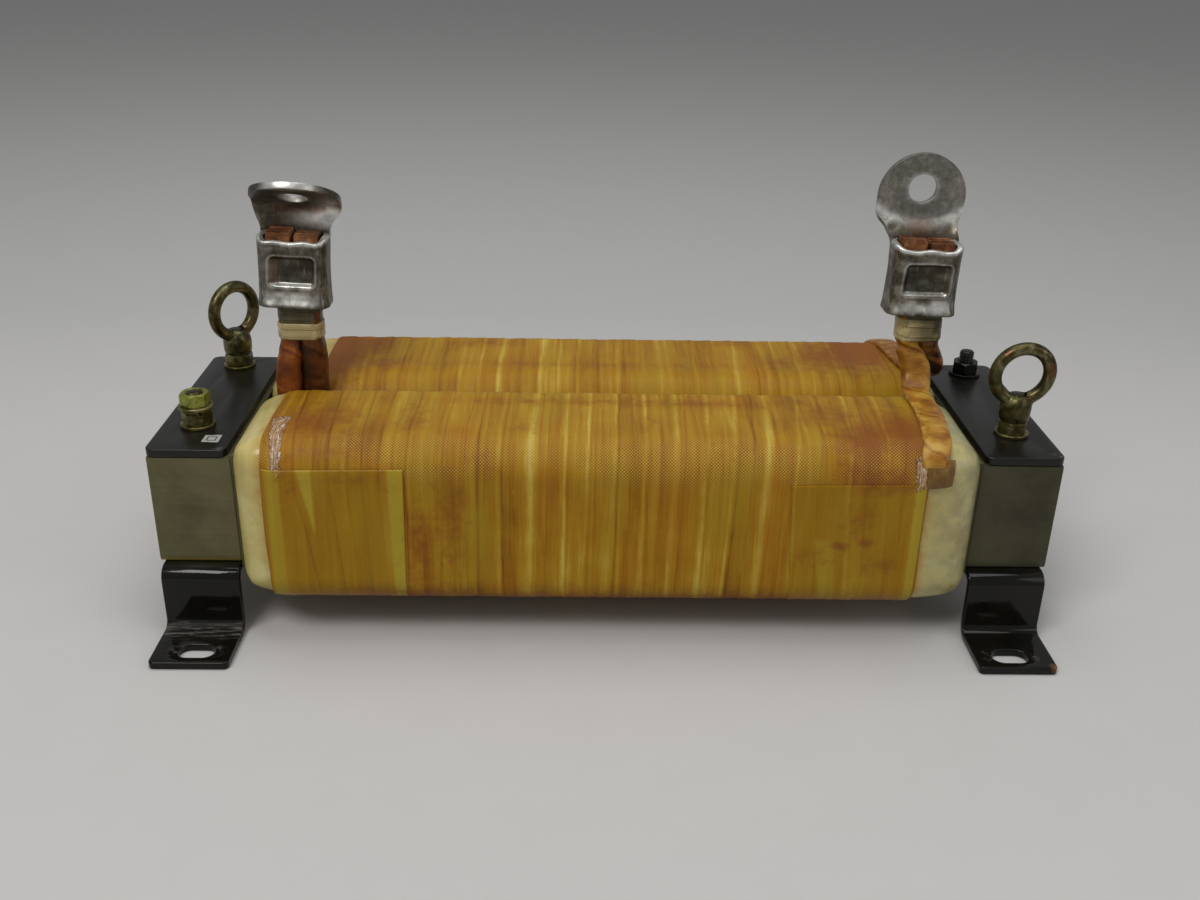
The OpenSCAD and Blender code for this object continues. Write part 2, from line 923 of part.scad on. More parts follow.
module marker_sticker()
{
    size = 8.2;
    sticker_t = 0.2;
    from_edge = 13;
    from_stud = 11.2;
    color("white")
    translate([from_stud - stud_x, from_edge - core_d / 2, plate_top + sticker_t / 2])
    cube([size, size, sticker_t], center = true);
}

// ---------------------------------------------------------------- nodes

yoke(-1);  // yoke_left
yoke(1);  // yoke_right
limb(-1);  // limb_front
limb(1);  // limb_rear
gap_board(-1, -1);  // gap_board_front_left
gap_board(1, -1);  // gap_board_front_right
gap_board(-1, 1);  // gap_board_rear_left
gap_board(1, 1);  // gap_board_rear_right
former(false);  // former_front
former(true);  // former_rear
winding(false);  // winding_front
winding(true);  // winding_rear
pale_wrap(false);  // pale_wrap_front
pale_wrap(true);  // pale_wrap_rear
tape_wrap(false);  // tape_wrap_front
tape_wrap(true);  // tape_wrap_rear
lead(start_stations(-1, 1));  // start_lead_front
lead(start_stations(1, -1));  // start_lead_rear
lead(finish_stations(-1, -1));  // finish_lead_front
lead(finish_stations(1, 1));  // finish_lead_rear
lead_band(-1, band_z_left, band_h_left);  // lead_band_left
lead_band(1, band_z_right, band_h_right);  // lead_band_right
strands(-1);  // strands_left
strands(1);  // strands_right
lug(-1, left_runs, left_shift);  // lug_left
lug(1, right_runs, right_shift);  // lug_right
top_plate(-1);  // top_plate_left
top_plate(1);  // top_plate_right
foot(-1, -1);  // foot_front_left
foot(1, -1);  // foot_front_right
foot(-1, 1);  // foot_rear_left
foot(1, 1);  // foot_rear_right
clamp_studs();
stud_sleeves();
top_washers();
painted_washer();
top_nuts();
painted_nut();
terminal_spring_washer();
terminal_washer();
terminal_nut();
eye_nut(-1, 1, eye_turn_left);  // eye_nut_left
eye_nut(1, -1, eye_turn_right);  // eye_nut_right
bottom_washers();
bottom_nuts();
marker_sticker();
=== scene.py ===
import math

import bmesh
import bpy
import numpy as np
from mathutils import Matrix, Vector


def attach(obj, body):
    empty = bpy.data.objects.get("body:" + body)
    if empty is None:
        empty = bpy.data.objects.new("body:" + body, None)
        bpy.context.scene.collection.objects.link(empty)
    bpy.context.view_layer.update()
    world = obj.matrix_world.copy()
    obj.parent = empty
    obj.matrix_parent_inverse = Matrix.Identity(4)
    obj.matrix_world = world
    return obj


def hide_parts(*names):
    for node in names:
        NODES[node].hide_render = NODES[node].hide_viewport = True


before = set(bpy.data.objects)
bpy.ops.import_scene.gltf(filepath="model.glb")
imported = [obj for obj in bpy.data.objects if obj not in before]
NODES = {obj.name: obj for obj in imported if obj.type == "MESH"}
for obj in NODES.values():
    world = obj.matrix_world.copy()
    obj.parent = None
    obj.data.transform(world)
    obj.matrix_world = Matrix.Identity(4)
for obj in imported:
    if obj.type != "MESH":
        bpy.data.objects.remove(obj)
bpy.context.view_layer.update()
MM = 0.001

# ------------------------------------------------------------ values, in mm

CORE_D, FOOT_H, CORE_TOP = 127.0, 35.6, 92.4
YOKE_X, YOKE_W = 201.15, 40.7
PLATE_T, PLATE_W, PLATE_X = 4.0, 38.7, 202.35
PLATE_TOP = CORE_TOP + PLATE_T
FOOT_T, FOOT_W, FOOT_X = 3.8, 38.2, 200.1
WEB_Y, TOE_Y, LAP_Y = 72.5, 105.3, 21.5
STUD_X, STUD_FRONT, STUD_REAR, STUD_D, STUD_HOLE_R = 203.9, -33.7, 49.5, 8.0, 4.5
WASHER_D, WASHER_T, NUT_AF, NUT_H = 17.0, 1.6, 13.0, 6.3
WASHER_TOP = PLATE_TOP + WASHER_T
NUT_TOP = WASHER_TOP + NUT_H
SPRING_T = 1.8
TERMINAL_WASHER = NUT_TOP + SPRING_T
TERMINAL_NUT = TERMINAL_WASHER + WASHER_T
EYE_RISE, EYE_R, EYE_WIRE = 24.0, 13.5, 6.6
HALF_W, HALF_H, EDGE_R, END_R = 40.75, 44.6, 18.0, 22.0
COIL_Y, COIL_Z, COIL_END, COIL_TOP = 41.25, 64.0, 179.0, 108.6
TAPE_FROM, TAPE_TO = -163.6, 151.0
# Depth of both tapes under the coil's skin; where the pale ends start to round over, and end;
# half sizes and corner radius of the pale ends at the former
TAPE_DEPTH, PALE_DEPTH, PALE_BEND, PALE_END = 1.3, 1.45, 153.0, 178.5
MOUTH_W, MOUTH_H, MOUTH_R = 26.9, 32.6, 8.5
LUG_X, LUG_Z, LEAN = 157.8, 150.1, {-1: 2.4, 1: 1.0}
BARREL_W, BARREL_D, BARREL_H, LUG_T = 34.6, 20.0, 34.5, 3.2
BAND_Z = {-1: 132.1, 1: 135.1}
BAND_H = {-1: 8.6, 1: 12.0}
PAIR_SHIFT = 1.6
SLOT_X, SLOT_Y, SLOT_R, SLOT_HALF = FOOT_X - 1.6, TOE_Y - 10.3, 5.5, 3.5


# ------------------------------------------------------------ mesh helpers

def finish_piece(ob, nodes):
    """Sets a new piece in the frame: it rides, and may stand for CAD nodes."""
    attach(ob, "root")
    if nodes:
        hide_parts(*nodes)
    return ob


def new_object(name, mesh, material):
    ob = bpy.data.objects.new(name, mesh)
    bpy.context.scene.collection.objects.link(ob)
    if material:
        mesh.materials.append(material)
    return ob


def outward(mesh):
    """Turns all faces over if most of them look inwards."""
    n = len(mesh.polygons)
    centre, normal, area = np.zeros(n * 3), np.zeros(n * 3), np.zeros(n)
    mesh.polygons.foreach_get("center", centre)
    mesh.polygons.foreach_get("normal", normal)
    mesh.polygons.foreach_get("area", area)
    centre, normal = centre.reshape(-1, 3), normal.reshape(-1, 3)
    middle = (centre * area[:, None]).sum(0) / area.sum()
    if (((centre - middle) * normal).sum(1) * area).sum() < 0:
        mesh.flip_normals()


def surface(name, grid, material, loop_u=False, loop_v=False, uv=None, attrs=None,
            facing=None, cap=False):
    """Quads over a grid of points in mm, with metric UVs and float attributes."""
    nu, nv = grid.shape[:2]
    iu, iv = np.meshgrid(np.arange(nu if loop_u else nu - 1),
                         np.arange(nv if loop_v else nv - 1), indexing="ij")

    def index(a, b):
        return (a % nu) * nv + (b % nv)

    corners = [(iu, iv), (iu + 1, iv), (iu + 1, iv + 1), (iu, iv + 1)]
    quads = np.stack([index(a, b) for a, b in corners], -1).reshape(-1, 4)
    mesh = bpy.data.meshes.new(name)
    faces = quads.tolist()
    if cap:
        faces.append([index(0, j) for j in range(nv)])
        faces.append([index(nu - 1, nv - 1 - j) for j in range(nv)])
    mesh.from_pydata((grid.reshape(-1, 3) * MM).tolist(), [], faces)
    if uv is not None:
        layer = mesh.uv_layers.new(name="surface")
        flat = np.stack([np.stack([uv[0][a], uv[1][b]], -1) for a, b in corners], -2)
        flat = flat.reshape(-1, 2) * MM
        if cap:
            flat = np.vstack([flat, np.zeros((2 * nv, 2))])
        layer.data.foreach_set("uv", flat.ravel())
    for key, values in (attrs or {}).items():
        layer = mesh.attributes.new(key, "FLOAT", "POINT")
        layer.data.foreach_set("value", np.asarray(values, float).ravel())
    mesh.shade_smooth()
    mesh.update()
    ob = new_object(name, mesh, material)
    if facing is None:
        outward(mesh)
    elif Vector(facing).dot(mesh.polygons[len(mesh.polygons) // 2].normal) < 0:
        mesh.flip_normals()
    return ob


def settle(ob):
    """Leaves the object with its modifiers' result as its mesh."""
    graph = bpy.context.evaluated_depsgraph_get()
    graph.update()
    mesh = bpy.data.meshes.new_from_object(ob.evaluated_get(graph))
    old = ob.data
    ob.modifiers.clear()
    ob.data = mesh
    mesh.name = ob.name
    bpy.data.meshes.remove(old)
    return ob


def thickened(ob, thickness):
    """Gives a sheet a thickness in mm, inwards from the face that is seen."""
    mod = ob.modifiers.new("thick", "SOLIDIFY")
    mod.thickness, mod.offset = thickness * MM, -1
    return settle(ob)


def bevelled(ob, width, segments, angle=50):
    mod = ob.modifiers.new("bevel", "BEVEL")
    mod.width, mod.segments = width * MM, segments
    mod.limit_method, mod.angle_limit = "ANGLE", math.radians(angle)
    settle(ob)
    shade(ob, 40)
    return ob


def shade(ob, angle):
    """Smooth shading with edges sharper than the angle kept."""
    ob.data.shade_smooth()
    bm = bmesh.new()
    bm.from_mesh(ob.data)
    for edge in bm.edges:
        if len(edge.link_faces) == 2:
            edge.smooth = edge.calc_face_angle(0) < math.radians(angle)
    bm.to_mesh(ob.data)
    bm.free()


def cut(ob, cutters):
    """Takes the cutters out of the object, and deletes them."""
    for cutter in cutters:
        mod = ob.modifiers.new("cut", "BOOLEAN")
        mod.operation, mod.solver, mod.object = "DIFFERENCE", "EXACT", cutter
        settle(ob)
        bpy.data.objects.remove(cutter)
    return ob


def joined(name, parts):
    """One object made of several, with their meshes and materials put together."""
    bm = bmesh.new()
    materials = []
    for part in parts:
        part.data.transform(part.matrix_basis)
        first = len(bm.faces)
        bm.from_mesh(part.data)
        if part.data.materials:
            material = part.data.materials[0]
            if material not in materials:
                materials.append(material)
            bm.faces.ensure_lookup_table()
            for face in bm.faces[first:]:
                face.material_index = materials.index(material)
    mesh = bpy.data.meshes.new(name)
    bm.to_mesh(mesh)
    bm.free()
    for material in materials:
        mesh.materials.append(material)
    for part in parts:
        bpy.data.objects.remove(part)
    return new_object(name, mesh, None)


def prism(name, outline, low, high, axis="z", material=None):
    """Solid with a flat outline in mm, drawn out along one axis."""
    def place(p, q, t):
        return {"z": (p, q, t), "x": (t, p, q), "y": (p, t, q)}[axis]

    n = len(outline)
    verts = [place(p, q, low) for p, q in outline] + [place(p, q, high) for p, q in outline]
    faces = [list(range(n))[::-1], list(range(n, 2 * n))]
    faces += [[i, (i + 1) % n, n + (i + 1) % n, n + i] for i in range(n)]
    mesh = bpy.data.meshes.new(name)
    mesh.from_pydata([[c * MM for c in v] for v in verts], [], faces)
    bm = bmesh.new()
    bm.from_mesh(mesh)
    bmesh.ops.recalc_face_normals(bm, faces=bm.faces)
    bm.to_mesh(mesh)
    bm.free()
    return new_object(name, mesh, material)


def circle(x, y, r, n=48, start=0.0, sweep=360.0):
    """Points of a circle, or of an arc with both of its ends."""
    steps = n if sweep == 360.0 else n + 1
    return [(x + r * math.cos(math.radians(start + sweep * i / n)),
             y + r * math.sin(math.radians(start + sweep * i / n))) for i in range(steps)]


def rounded(w, h, r, x=0.0, y=0.0, n=10):
    """Rectangle with rounded corners, n steps each."""
    points = []
    for k, (sx, sy) in enumerate([(1, 1), (-1, 1), (-1, -1), (1, -1)]):
        points += circle(x + sx * (w / 2 - r), y + sy * (h / 2 - r), r, n, 90 * k, 90.0)
    return points


def turned(name, profile, x, y, material, sides=64, closed=True):
    """Revolved profile of (radius, height) about an upright axis, in mm."""
    profile = np.array(profile, float)
    a = np.linspace(0, 2 * math.pi, sides, endpoint=False)
    grid = np.stack([
        x + profile[:, 0, None] * np.cos(a), y + profile[:, 0, None] * np.sin(a),
        profile[:, 1, None] + 0 * a], -1)
    return surface(name, grid, material, loop_u=closed, loop_v=True)


def field(u, v, cell_u, cell_v, seed, around=0):
    """Smooth seeded noise from -1 to 1; around is the count of cells in a lap of v."""
    table = np.random.default_rng(seed).uniform(-1, 1, (97, 97))
    a, b = np.broadcast_arrays(np.asarray(u) / cell_u + 31.0, np.asarray(v) / cell_v)
    i, j = np.floor(a).astype(int), np.floor(b).astype(int)
    s, t = a - i, b - j
    s, t = s * s * (3 - 2 * s), t * t * (3 - 2 * t)
    lap = around or 97

    def at(p, q):
        return table[p % 97, q % lap]

    low = at(i, j) * (1 - s) + at(i + 1, j) * s
    high = at(i, j + 1) * (1 - s) + at(i + 1, j + 1) * s
    return low * (1 - t) + high * t


def bell(x, centre, half):
    """1 at the centre, falling away over the half width."""
    return np.exp(-(((x - centre) / half) ** 2))


def step(x, edge, soft):
    """0 below the edge and 1 above it, with a soft change."""
    return 1 / (1 + np.exp(-np.clip((x - edge) / soft, -40, 40)))


# ------------------------------------------------------------ materials

def rgb(r, g, b):
    """A colour given as 0-255 values, as the shader wants it."""
    def linear(c):
        c /= 255
        return c / 12.92 if c <= 0.04045 else ((c + 0.055) / 1.055) ** 2.4
    return (linear(r), linear(g), linear(b), 1.0)


class Paint:
    """A procedural material put together node by node."""

    def __init__(self, name, **sockets):
        self.mat = bpy.data.materials.new(name)
        self.mat.use_nodes = True
        self.tree = self.mat.node_tree
        self.shader = self.tree.nodes["Principled BSDF"]
        self.set(**sockets)

    def set(self, **sockets):
        for key, value in sockets.items():
            self.feed(self.shader.inputs[key.replace("_", " ")], value)

    def feed(self, socket, value):
        if isinstance(value, bpy.types.NodeSocket):
            self.tree.links.new(value, socket)
        else:
            socket.default_value = value

    def node(self, kind, inputs=None, **props):
        made = self.tree.nodes.new("ShaderNode" + kind)
        for key, value in props.items():
            setattr(made, key, value)
        for key, value in (inputs or {}).items():
            self.feed(made.inputs[key], value)
        return made

    def place(self, space="Object", stretch=(1, 1, 1)):
        coords = self.node("TexCoord").outputs[space]
        return self.node("Mapping", {"Vector": coords, "Scale": stretch}).outputs["Vector"]

    def noise(self, at, scale, detail=3.0, rough=0.55, twist=0.0):
        return self.node("TexNoise", {
            "Vector": at, "Scale": scale, "Detail": detail, "Roughness": rough,
            "Distortion": twist}).outputs[0]

    def ramp(self, fac, *stops):
        made = self.node("ValToRGB", {"Fac": fac})
        elements = made.color_ramp.elements
        while len(elements) < len(stops):
            elements.new(0.5)
        for element, (pos, colour) in zip(elements, stops):
            element.position = pos
            element.color = colour
        return made.outputs["Color"]

    def grade(self, fac, low, high, to_low=0.0, to_high=1.0):
        return self.node("MapRange", {
            "Value": fac, "From Min": low, "From Max": high,
            "To Min": to_low, "To Max": to_high}).outputs["Result"]

    def mix(self, fac, a, b):
        made = self.node("Mix", data_type="RGBA")
        for key, value in ((0, fac), (6, a), (7, b)):
            self.feed(made.inputs[key], value)
        return made.outputs[2]

    def math(self, op, a, b=0.0, clamp=False):
        return self.node("Math", {0: a, 1: b}, operation=op, use_clamp=clamp).outputs[0]

    def times(self, a, b):
        return self.math("MULTIPLY", a, b)

    def plus(self, a, b, clamp=False):
        return self.math("ADD", a, b, clamp)

    def speckle(self, grain, spread):
        """Noise brought to a range round zero."""
        return self.grade(grain, 0.3, 0.7, -spread, spread)

    def attribute(self, name):
        return self.node("Attribute", attribute_name=name).outputs["Fac"]

    def bump(self, height, strength, distance, under=None):
        inputs = {"Height": height, "Strength": strength, "Distance": distance * MM}
        if under is not None:
            inputs["Normal"] = under
        return self.node("Bump", inputs).outputs["Normal"]

    def near(self, at, spots):
        """Highest value near some spots given in mm: x, y, z, radius, strength."""
        value = None
        for x, y, z, radius, strength in spots:
            away = self.node("VectorMath", {0: at, 1: (x * MM, y * MM, z * MM)},
                             operation="DISTANCE").outputs["Value"]
            here = self.grade(away, 0.3 * radius * MM, radius * MM, strength, 0.0)
            value = here if value is None else self.math("MAXIMUM", value, here)
        return value

    def split(self, at):
        return self.node("SeparateXYZ", {"Vector": at}).outputs


def weave(p, at, pitch):
    """Height of a plain weave over coordinates in metres, threads pitch mm apart."""
    parts = p.split(at)
    k = 2 * math.pi / (pitch * MM)
    u = p.math("SINE", p.times(parts["X"], k))
    v = p.math("SINE", p.times(parts["Y"], k))
    return p.times(u, v)


def tape_material(name, film=False):
    """Varnished amber glass tape: tone, stain and cloth come with the mesh."""
    p = Paint(name, Specular_IOR_Level=0.16 if film else 0.12)
    uv = p.place("UV")
    tone, stain = p.attribute("tone"), p.attribute("stain")
    cloth = p.attribute("cloth")
    streak = p.noise(p.place("UV", (1, 0.035, 1)), 1100, 3, 0.6)
    cloud = p.noise(uv, 55, 4, 0.6)
    fine = p.noise(uv, 900, 2, 0.6)
    value = p.plus(tone, p.grade(streak, 0.2, 0.8, -0.11, 0.11))
    value = p.plus(value, p.speckle(cloud, 0.06))
    value = p.plus(value, p.speckle(fine, 0.03), clamp=True)
    amber = p.ramp(value, (0.0, rgb(58, 30, 4)), (0.22, rgb(116, 72, 10)),
                   (0.42, rgb(146, 101, 14)), (0.6, rgb(160, 122, 27)),
                   (0.8, rgb(182, 156, 66)), (1.0, rgb(206, 194, 128)))
    drift = p.noise(p.place("UV", (1, 0.3, 1)), 36, 3, 0.6)
    amber = p.mix(p.grade(drift, 0.5, 0.72, 0.0, 0.6), amber, rgb(150, 128, 30))
    amber = p.mix(p.grade(drift, 0.46, 0.26, 0.0, 0.6), amber, rgb(158, 98, 16))
    if film:
        amber = p.mix(0.55, amber, rgb(142, 106, 4))
        lime = p.attribute("lime")
        amber = p.mix(p.grade(lime, 0.0, 1.0, 0.0, 0.7), amber, rgb(162, 146, 44))
    spots = p.noise(uv, 150, 6, 0.75)
    red = p.grade(p.plus(stain, p.grade(spots, 0.25, 0.75, -0.5, 0.5)), 0.25, 0.95)
    colour = p.mix(p.times(red, 0.85), amber, rgb(122, 64, 22))
    threads = weave(p, uv, 1.6)
    # Pale threads where cloth is high: the real weave, with painted sheen on the upper rounding.
    light = p.times(p.grade(threads, 0.1, 1.0), p.times(cloth, 0.62))
    colour = p.mix(light, colour, rgb(206, 176, 104))
    dark = p.times(p.grade(threads, -0.1, -1.0), p.times(cloth, 0.55))
    colour = p.mix(dark, colour, rgb(84, 50, 14))
    rough = p.grade(cloud, 0.3, 0.7, 0.2 if film else 0.36, 0.32 if film else 0.52)
    rough = p.plus(rough, p.times(cloth, 0.18))
    height = p.plus(p.times(threads, p.times(cloth, 0.5)),
                    p.times(fine, 0.35))
    normal = p.bump(height, 0.35, 0.25)
    normal = p.bump(streak, 0.28, 0.35, normal)
    p.set(Base_Color=colour, Roughness=rough, Normal=normal)
    return p.mat


def cream_material(name):
    """Cream binding tape soaked in clear varnish."""
    p = Paint(name, Coat_Weight=0.3, Coat_Roughness=0.12)
    uv, at = p.place("UV"), p.place("Object")
    cloud = p.noise(at, 42, 4, 0.6, 0.4)
    patch = p.noise(at, 120, 3, 0.6)
    stain = p.attribute("stain")
    base = p.ramp(cloud, (0.25, rgb(160, 143, 72)), (0.5, rgb(187, 172, 102)),
                  (0.75, rgb(204, 195, 134)))
    # The right pale end turns greyer and darker, more so in patches: painted shade.
    right_end_shade = p.grade(p.split(at)["X"], 0.13, 0.172)
    base = p.mix(p.times(right_end_shade, p.grade(patch, 0.35, 0.6, 0.35, 0.95)), base,
                 rgb(142, 136, 96))
    gold = p.grade(p.plus(stain, p.speckle(patch, 0.25)), 0.2, 1.0)
    colour = p.mix(gold, base, rgb(166, 124, 34))
    # Stain above 1.1 turns dark olive: painted shade in the gap at the former.
    colour = p.mix(p.grade(stain, 1.1, 1.7), colour, rgb(58, 50, 24))
    threads = weave(p, uv, 1.4)
    colour = p.mix(p.grade(threads, 0.0, 1.0, 0.0, 0.08), colour, rgb(222, 214, 166))
    normal = p.bump(threads, 0.12, 0.2)
    normal = p.bump(patch, 0.25, 0.8, normal)
    p.set(Base_Color=colour, Roughness=p.grade(patch, 0.3, 0.7, 0.26, 0.42), Normal=normal)
    return p.mat


def steel_material(name, tint):
    """Ground lamination stack: fine layers, draw lines, oil and light rust."""
    p = Paint(name, Metallic=0.55, Specular_IOR_Level=0.3)
    at = p.place("Object")
    layer = p.noise(p.place("Object", (0.02, 0.02, 1)), 1900, 2, 0.7)
    brush = p.noise(p.place("Object", (0.06, 0.06, 1)), 700, 4, 0.65)
    cloud = p.noise(at, 26, 4, 0.6, 0.3)
    value = p.plus(p.speckle(layer, 0.03),
                   p.grade(brush, 0.25, 0.75, 0.46, 0.52))
    value = p.plus(value, p.grade(cloud, 0.3, 0.7, -0.24, 0.2), clamp=True)
    base = p.ramp(value, (0.1, rgb(*(int(c * 0.62) for c in tint))),
                  (0.5, rgb(*tint)), (0.95, rgb(*(min(255, int(c * 1.25)) for c in tint))))
    dots = p.noise(at, 260, 5, 0.7)
    rust = p.times(p.grade(dots, 0.6, 0.74), p.grade(cloud, 0.45, 0.65))
    colour = p.mix(p.times(rust, 0.35), base, rgb(84, 60, 30))
    oil = p.noise(at, 17, 3, 0.5)
    colour = p.mix(p.grade(oil, 0.5, 0.66, 0.0, 0.45), colour, rgb(78, 84, 44))
    colour = p.mix(p.attribute("strip"), colour, rgb(126, 108, 46))
    normal = p.bump(layer, 0.08, 0.1)
    normal = p.bump(p.noise(at, 90, 3), 0.12, 0.6, normal)
    p.set(Base_Color=colour, Normal=normal,
          Roughness=p.plus(p.grade(cloud, 0.3, 0.7, 0.36, 0.5),
                           p.times(rust, 0.25)))
    return p.mat


def paint_material(name, low, high, gloss, worn, scuffed=False, rusty=()):
    """Thick black paint: roughness from low to high, rubbed at the worn spots.

    Scuffed paint is dull and streaked low on the left feet: at the lower bend of the
    front one, and all over the toe of the rear one."""
    p = Paint(name, Specular_IOR_Level=gloss)
    at = p.place("Object")
    cloud = p.noise(at, 30, 4, 0.6, 0.5)
    dust = p.noise(at, 1300, 2, 0.6)
    base = p.ramp(cloud, (0.3, rgb(9, 9, 7)), (0.7, rgb(22, 20, 14)))
    specks = p.times(p.grade(dust, 0.7, 0.78), 0.35)
    colour = p.mix(specks, base, rgb(104, 98, 84))
    scratches = p.noise(p.place("Object", (0.25, 1, 1)), 420, 4, 0.75, 1.2)
    lines = p.times(p.grade(scratches, 0.66, 0.7), p.grade(cloud, 0.45, 0.62))
    colour = p.mix(p.times(lines, 0.35), colour, rgb(80, 74, 58))
    wear = p.times(p.near(at, worn), p.grade(p.noise(at, 300, 5, 0.75), 0.5, 0.62))
    if scuffed:
        parts = p.split(at)
        zone = p.times(p.grade(parts["Z"], 7 * MM, 5 * MM), p.grade(parts["Y"], -86 * MM, -81 * MM))
        zone = p.times(zone, p.grade(parts["X"], -100 * MM, -150 * MM))
        low = p.math("MAXIMUM", zone, low)
        streaks = p.noise(p.place("Object", (0.12, 1, 1)), 520, 3, 0.7)
        wear = p.math("MAXIMUM", wear, p.times(zone, p.grade(streaks, 0.52, 0.6, 0.0, 0.6)))
    colour = p.mix(wear, colour, rgb(110, 107, 98))
    if rusty:
        flakes = p.grade(p.noise(at, 420, 4, 0.7), 0.4, 0.55)
        colour = p.mix(p.times(p.near(at, rusty), flakes), colour, rgb(120, 84, 52))
    normal = p.bump(p.noise(at, 210, 2, 0.5), 0.05, 0.7)
    normal = p.bump(p.noise(at, 60, 2, 0.5), 0.2, 1.0, normal)
    p.set(Base_Color=colour, Normal=normal,
          Roughness=p.plus(p.grade(cloud, 0.3, 0.7, low, high), p.times(wear, 0.4)))
    return p.mat


def chromate_material(name, tones, tint=None):
    """Zinc with a yellow-olive chromate film, mottled, flecked darker, and patched with a second hue
    where a tint is given.
    """
    p = Paint(name, Metallic=0.85)
    at = p.place("Object")
    cloud = p.noise(at, 120, 4, 0.6, 0.8)
    fine = p.noise(at, 900, 3, 0.6)
    base = p.ramp(cloud, *((0.3 + 0.2 * i, rgb(*tone)) for i, tone in enumerate(tones)))
    if tint:
        patch = p.noise(at, 85, 3, 0.6, 0.5)
        base = p.mix(p.grade(patch, 0.54, 0.66, 0.0, 0.65), base, rgb(*tint))
    dark = p.times(p.grade(fine, 0.56, 0.7), 0.6)
    colour = p.mix(dark, base, rgb(58, 50, 26))
    normal = p.bump(fine, 0.15, 0.12)
    p.set(Base_Color=colour, Normal=normal, Roughness=p.grade(cloud, 0.3, 0.7, 0.26, 0.42))
    return p.mat


def tinned_material(name):
    """Dull tinned copper, mottled and scratched, with painted highlights and painted shade from the
    mesh.
    """
    p = Paint(name, Metallic=0.8)
    at = p.place("Object")
    cloud = p.noise(at, 60, 5, 0.65, 0.6)
    spots = p.noise(at, 330, 4, 0.65)
    value = p.plus(cloud, p.speckle(spots, 0.13))
    base = p.ramp(value, (0.25, rgb(48, 44, 35)), (0.5, rgb(86, 82, 70)),
                  (0.78, rgb(142, 139, 128)))
    warm = p.noise(at, 105, 3, 0.6, 0.8)
    base = p.mix(p.grade(warm, 0.56, 0.7, 0.0, 0.5), base, rgb(104, 84, 58))
    base = p.mix(p.times(p.attribute("warm"), 0.65), base, rgb(128, 88, 60))
    # Painted highlight: mixed towards near white, and made smoother.
    painted_highlight = p.times(p.attribute("painted_highlight"), p.grade(spots, 0.25, 0.6, 0.55, 1.0))
    colour = p.mix(p.times(painted_highlight, 0.95), base, rgb(244, 243, 237))
    # Painted shade, and the darker seam of the barrel.
    shade_and_seam = p.attribute("shade_and_seam")
    colour = p.mix(p.times(shade_and_seam, 0.8), colour, rgb(42, 40, 33))
    scratch = p.noise(p.place("Object", (1, 1, 0.15)), 520, 3, 0.7)
    colour = p.mix(p.times(p.grade(scratch, 0.62, 0.7), 0.25), colour,
                   rgb(190, 188, 182))
    normal = p.bump(spots, 0.22, 0.25)
    normal = p.bump(p.noise(at, 110, 2), 0.25, 0.9, normal)
    rough = p.math("SUBTRACT", p.grade(cloud, 0.3, 0.7, 0.36, 0.48),
                   p.times(painted_highlight, 0.1))
    p.set(Base_Color=colour, Normal=normal, Roughness=rough)
    return p.mat


def lead_material(name, low, middle, high, cloth=0.35):
    """Varnished tape on the leads, turn by turn darker and lighter."""
    p = Paint(name, Specular_IOR_Level=0.3)
    uv = p.place("UV")
    tone = p.attribute("tone")
    cloud = p.noise(uv, 130, 4, 0.6)
    fine = p.noise(uv, 1000, 2, 0.6)
    value = p.plus(tone, p.speckle(cloud, 0.3))
    value = p.plus(value, p.speckle(fine, 0.07), clamp=True)
    colour = p.ramp(value, (0.05, rgb(*low)), (0.5, rgb(*middle)), (0.95, rgb(*high)))
    threads = weave(p, uv, 1.1)
    colour = p.mix(p.grade(threads, 0.1, 1.0, 0.0, 0.2 * cloth), colour, rgb(226, 190, 130))
    normal = p.bump(threads, 0.2 * cloth, 0.2)
    normal = p.bump(cloud, 0.3, 0.6, normal)
    p.set(Base_Color=colour, Normal=normal, Roughness=p.grade(fine, 0.3, 0.7, 0.26, 0.42))
    return p.mat


def copper_material(name):
    """Bare copper, darkened in patches, with fine lines along the strips."""
    p = Paint(name, Metallic=0.7)
    at = p.place("Object")
    cloud = p.noise(at, 150, 4, 0.6)
    along = p.noise(p.place("Object", (1, 1, 0.08)), 900, 3, 0.6)
    colour = p.ramp(cloud, (0.3, rgb(70, 40, 22)), (0.5, rgb(120, 74, 44)),
                    (0.75, rgb(176, 126, 88)))
    p.set(Base_Color=colour, Normal=p.bump(along, 0.2, 0.15),
          Roughness=p.grade(cloud, 0.3, 0.7, 0.34, 0.52))
    return p.mat


def board_material(name, tint):
    """Pressboard in one tint, with the grain of its fibres."""
    p = Paint(name)
    at = p.place("Object")
    fibre = p.noise(p.place("Object", (0.2, 1, 1)), 420, 4, 0.7)
    colour = p.ramp(fibre, (0.3, rgb(*(int(c * 0.75) for c in tint))), (0.7, rgb(*tint)))
    p.set(Base_Color=colour, Normal=p.bump(fibre, 0.3, 0.2),
          Roughness=p.grade(p.noise(at, 60), 0.3, 0.7, 0.6, 0.78))
    return p.mat


def glass_cloth_material(name):
    """Frayed end of glass cloth: white threads with amber between them."""
    p = Paint(name)
    uv = p.place("UV")
    spots = p.noise(uv, 420, 3, 0.7)
    threads = p.noise(p.place("UV", (1, 0.1, 1)), 1500, 3, 0.65)
    value = p.plus(p.times(threads, 0.7), p.times(spots, 0.3))
    colour = p.ramp(value, (0.4, rgb(128, 80, 34)), (0.5, rgb(152, 116, 74)),
                    (0.62, rgb(206, 196, 182)))
    p.set(Base_Color=colour, Normal=p.bump(p.plus(spots, threads), 0.35, 0.3),
          Roughness=p.grade(threads, 0.3, 0.7, 0.35, 0.6))
    return p.mat


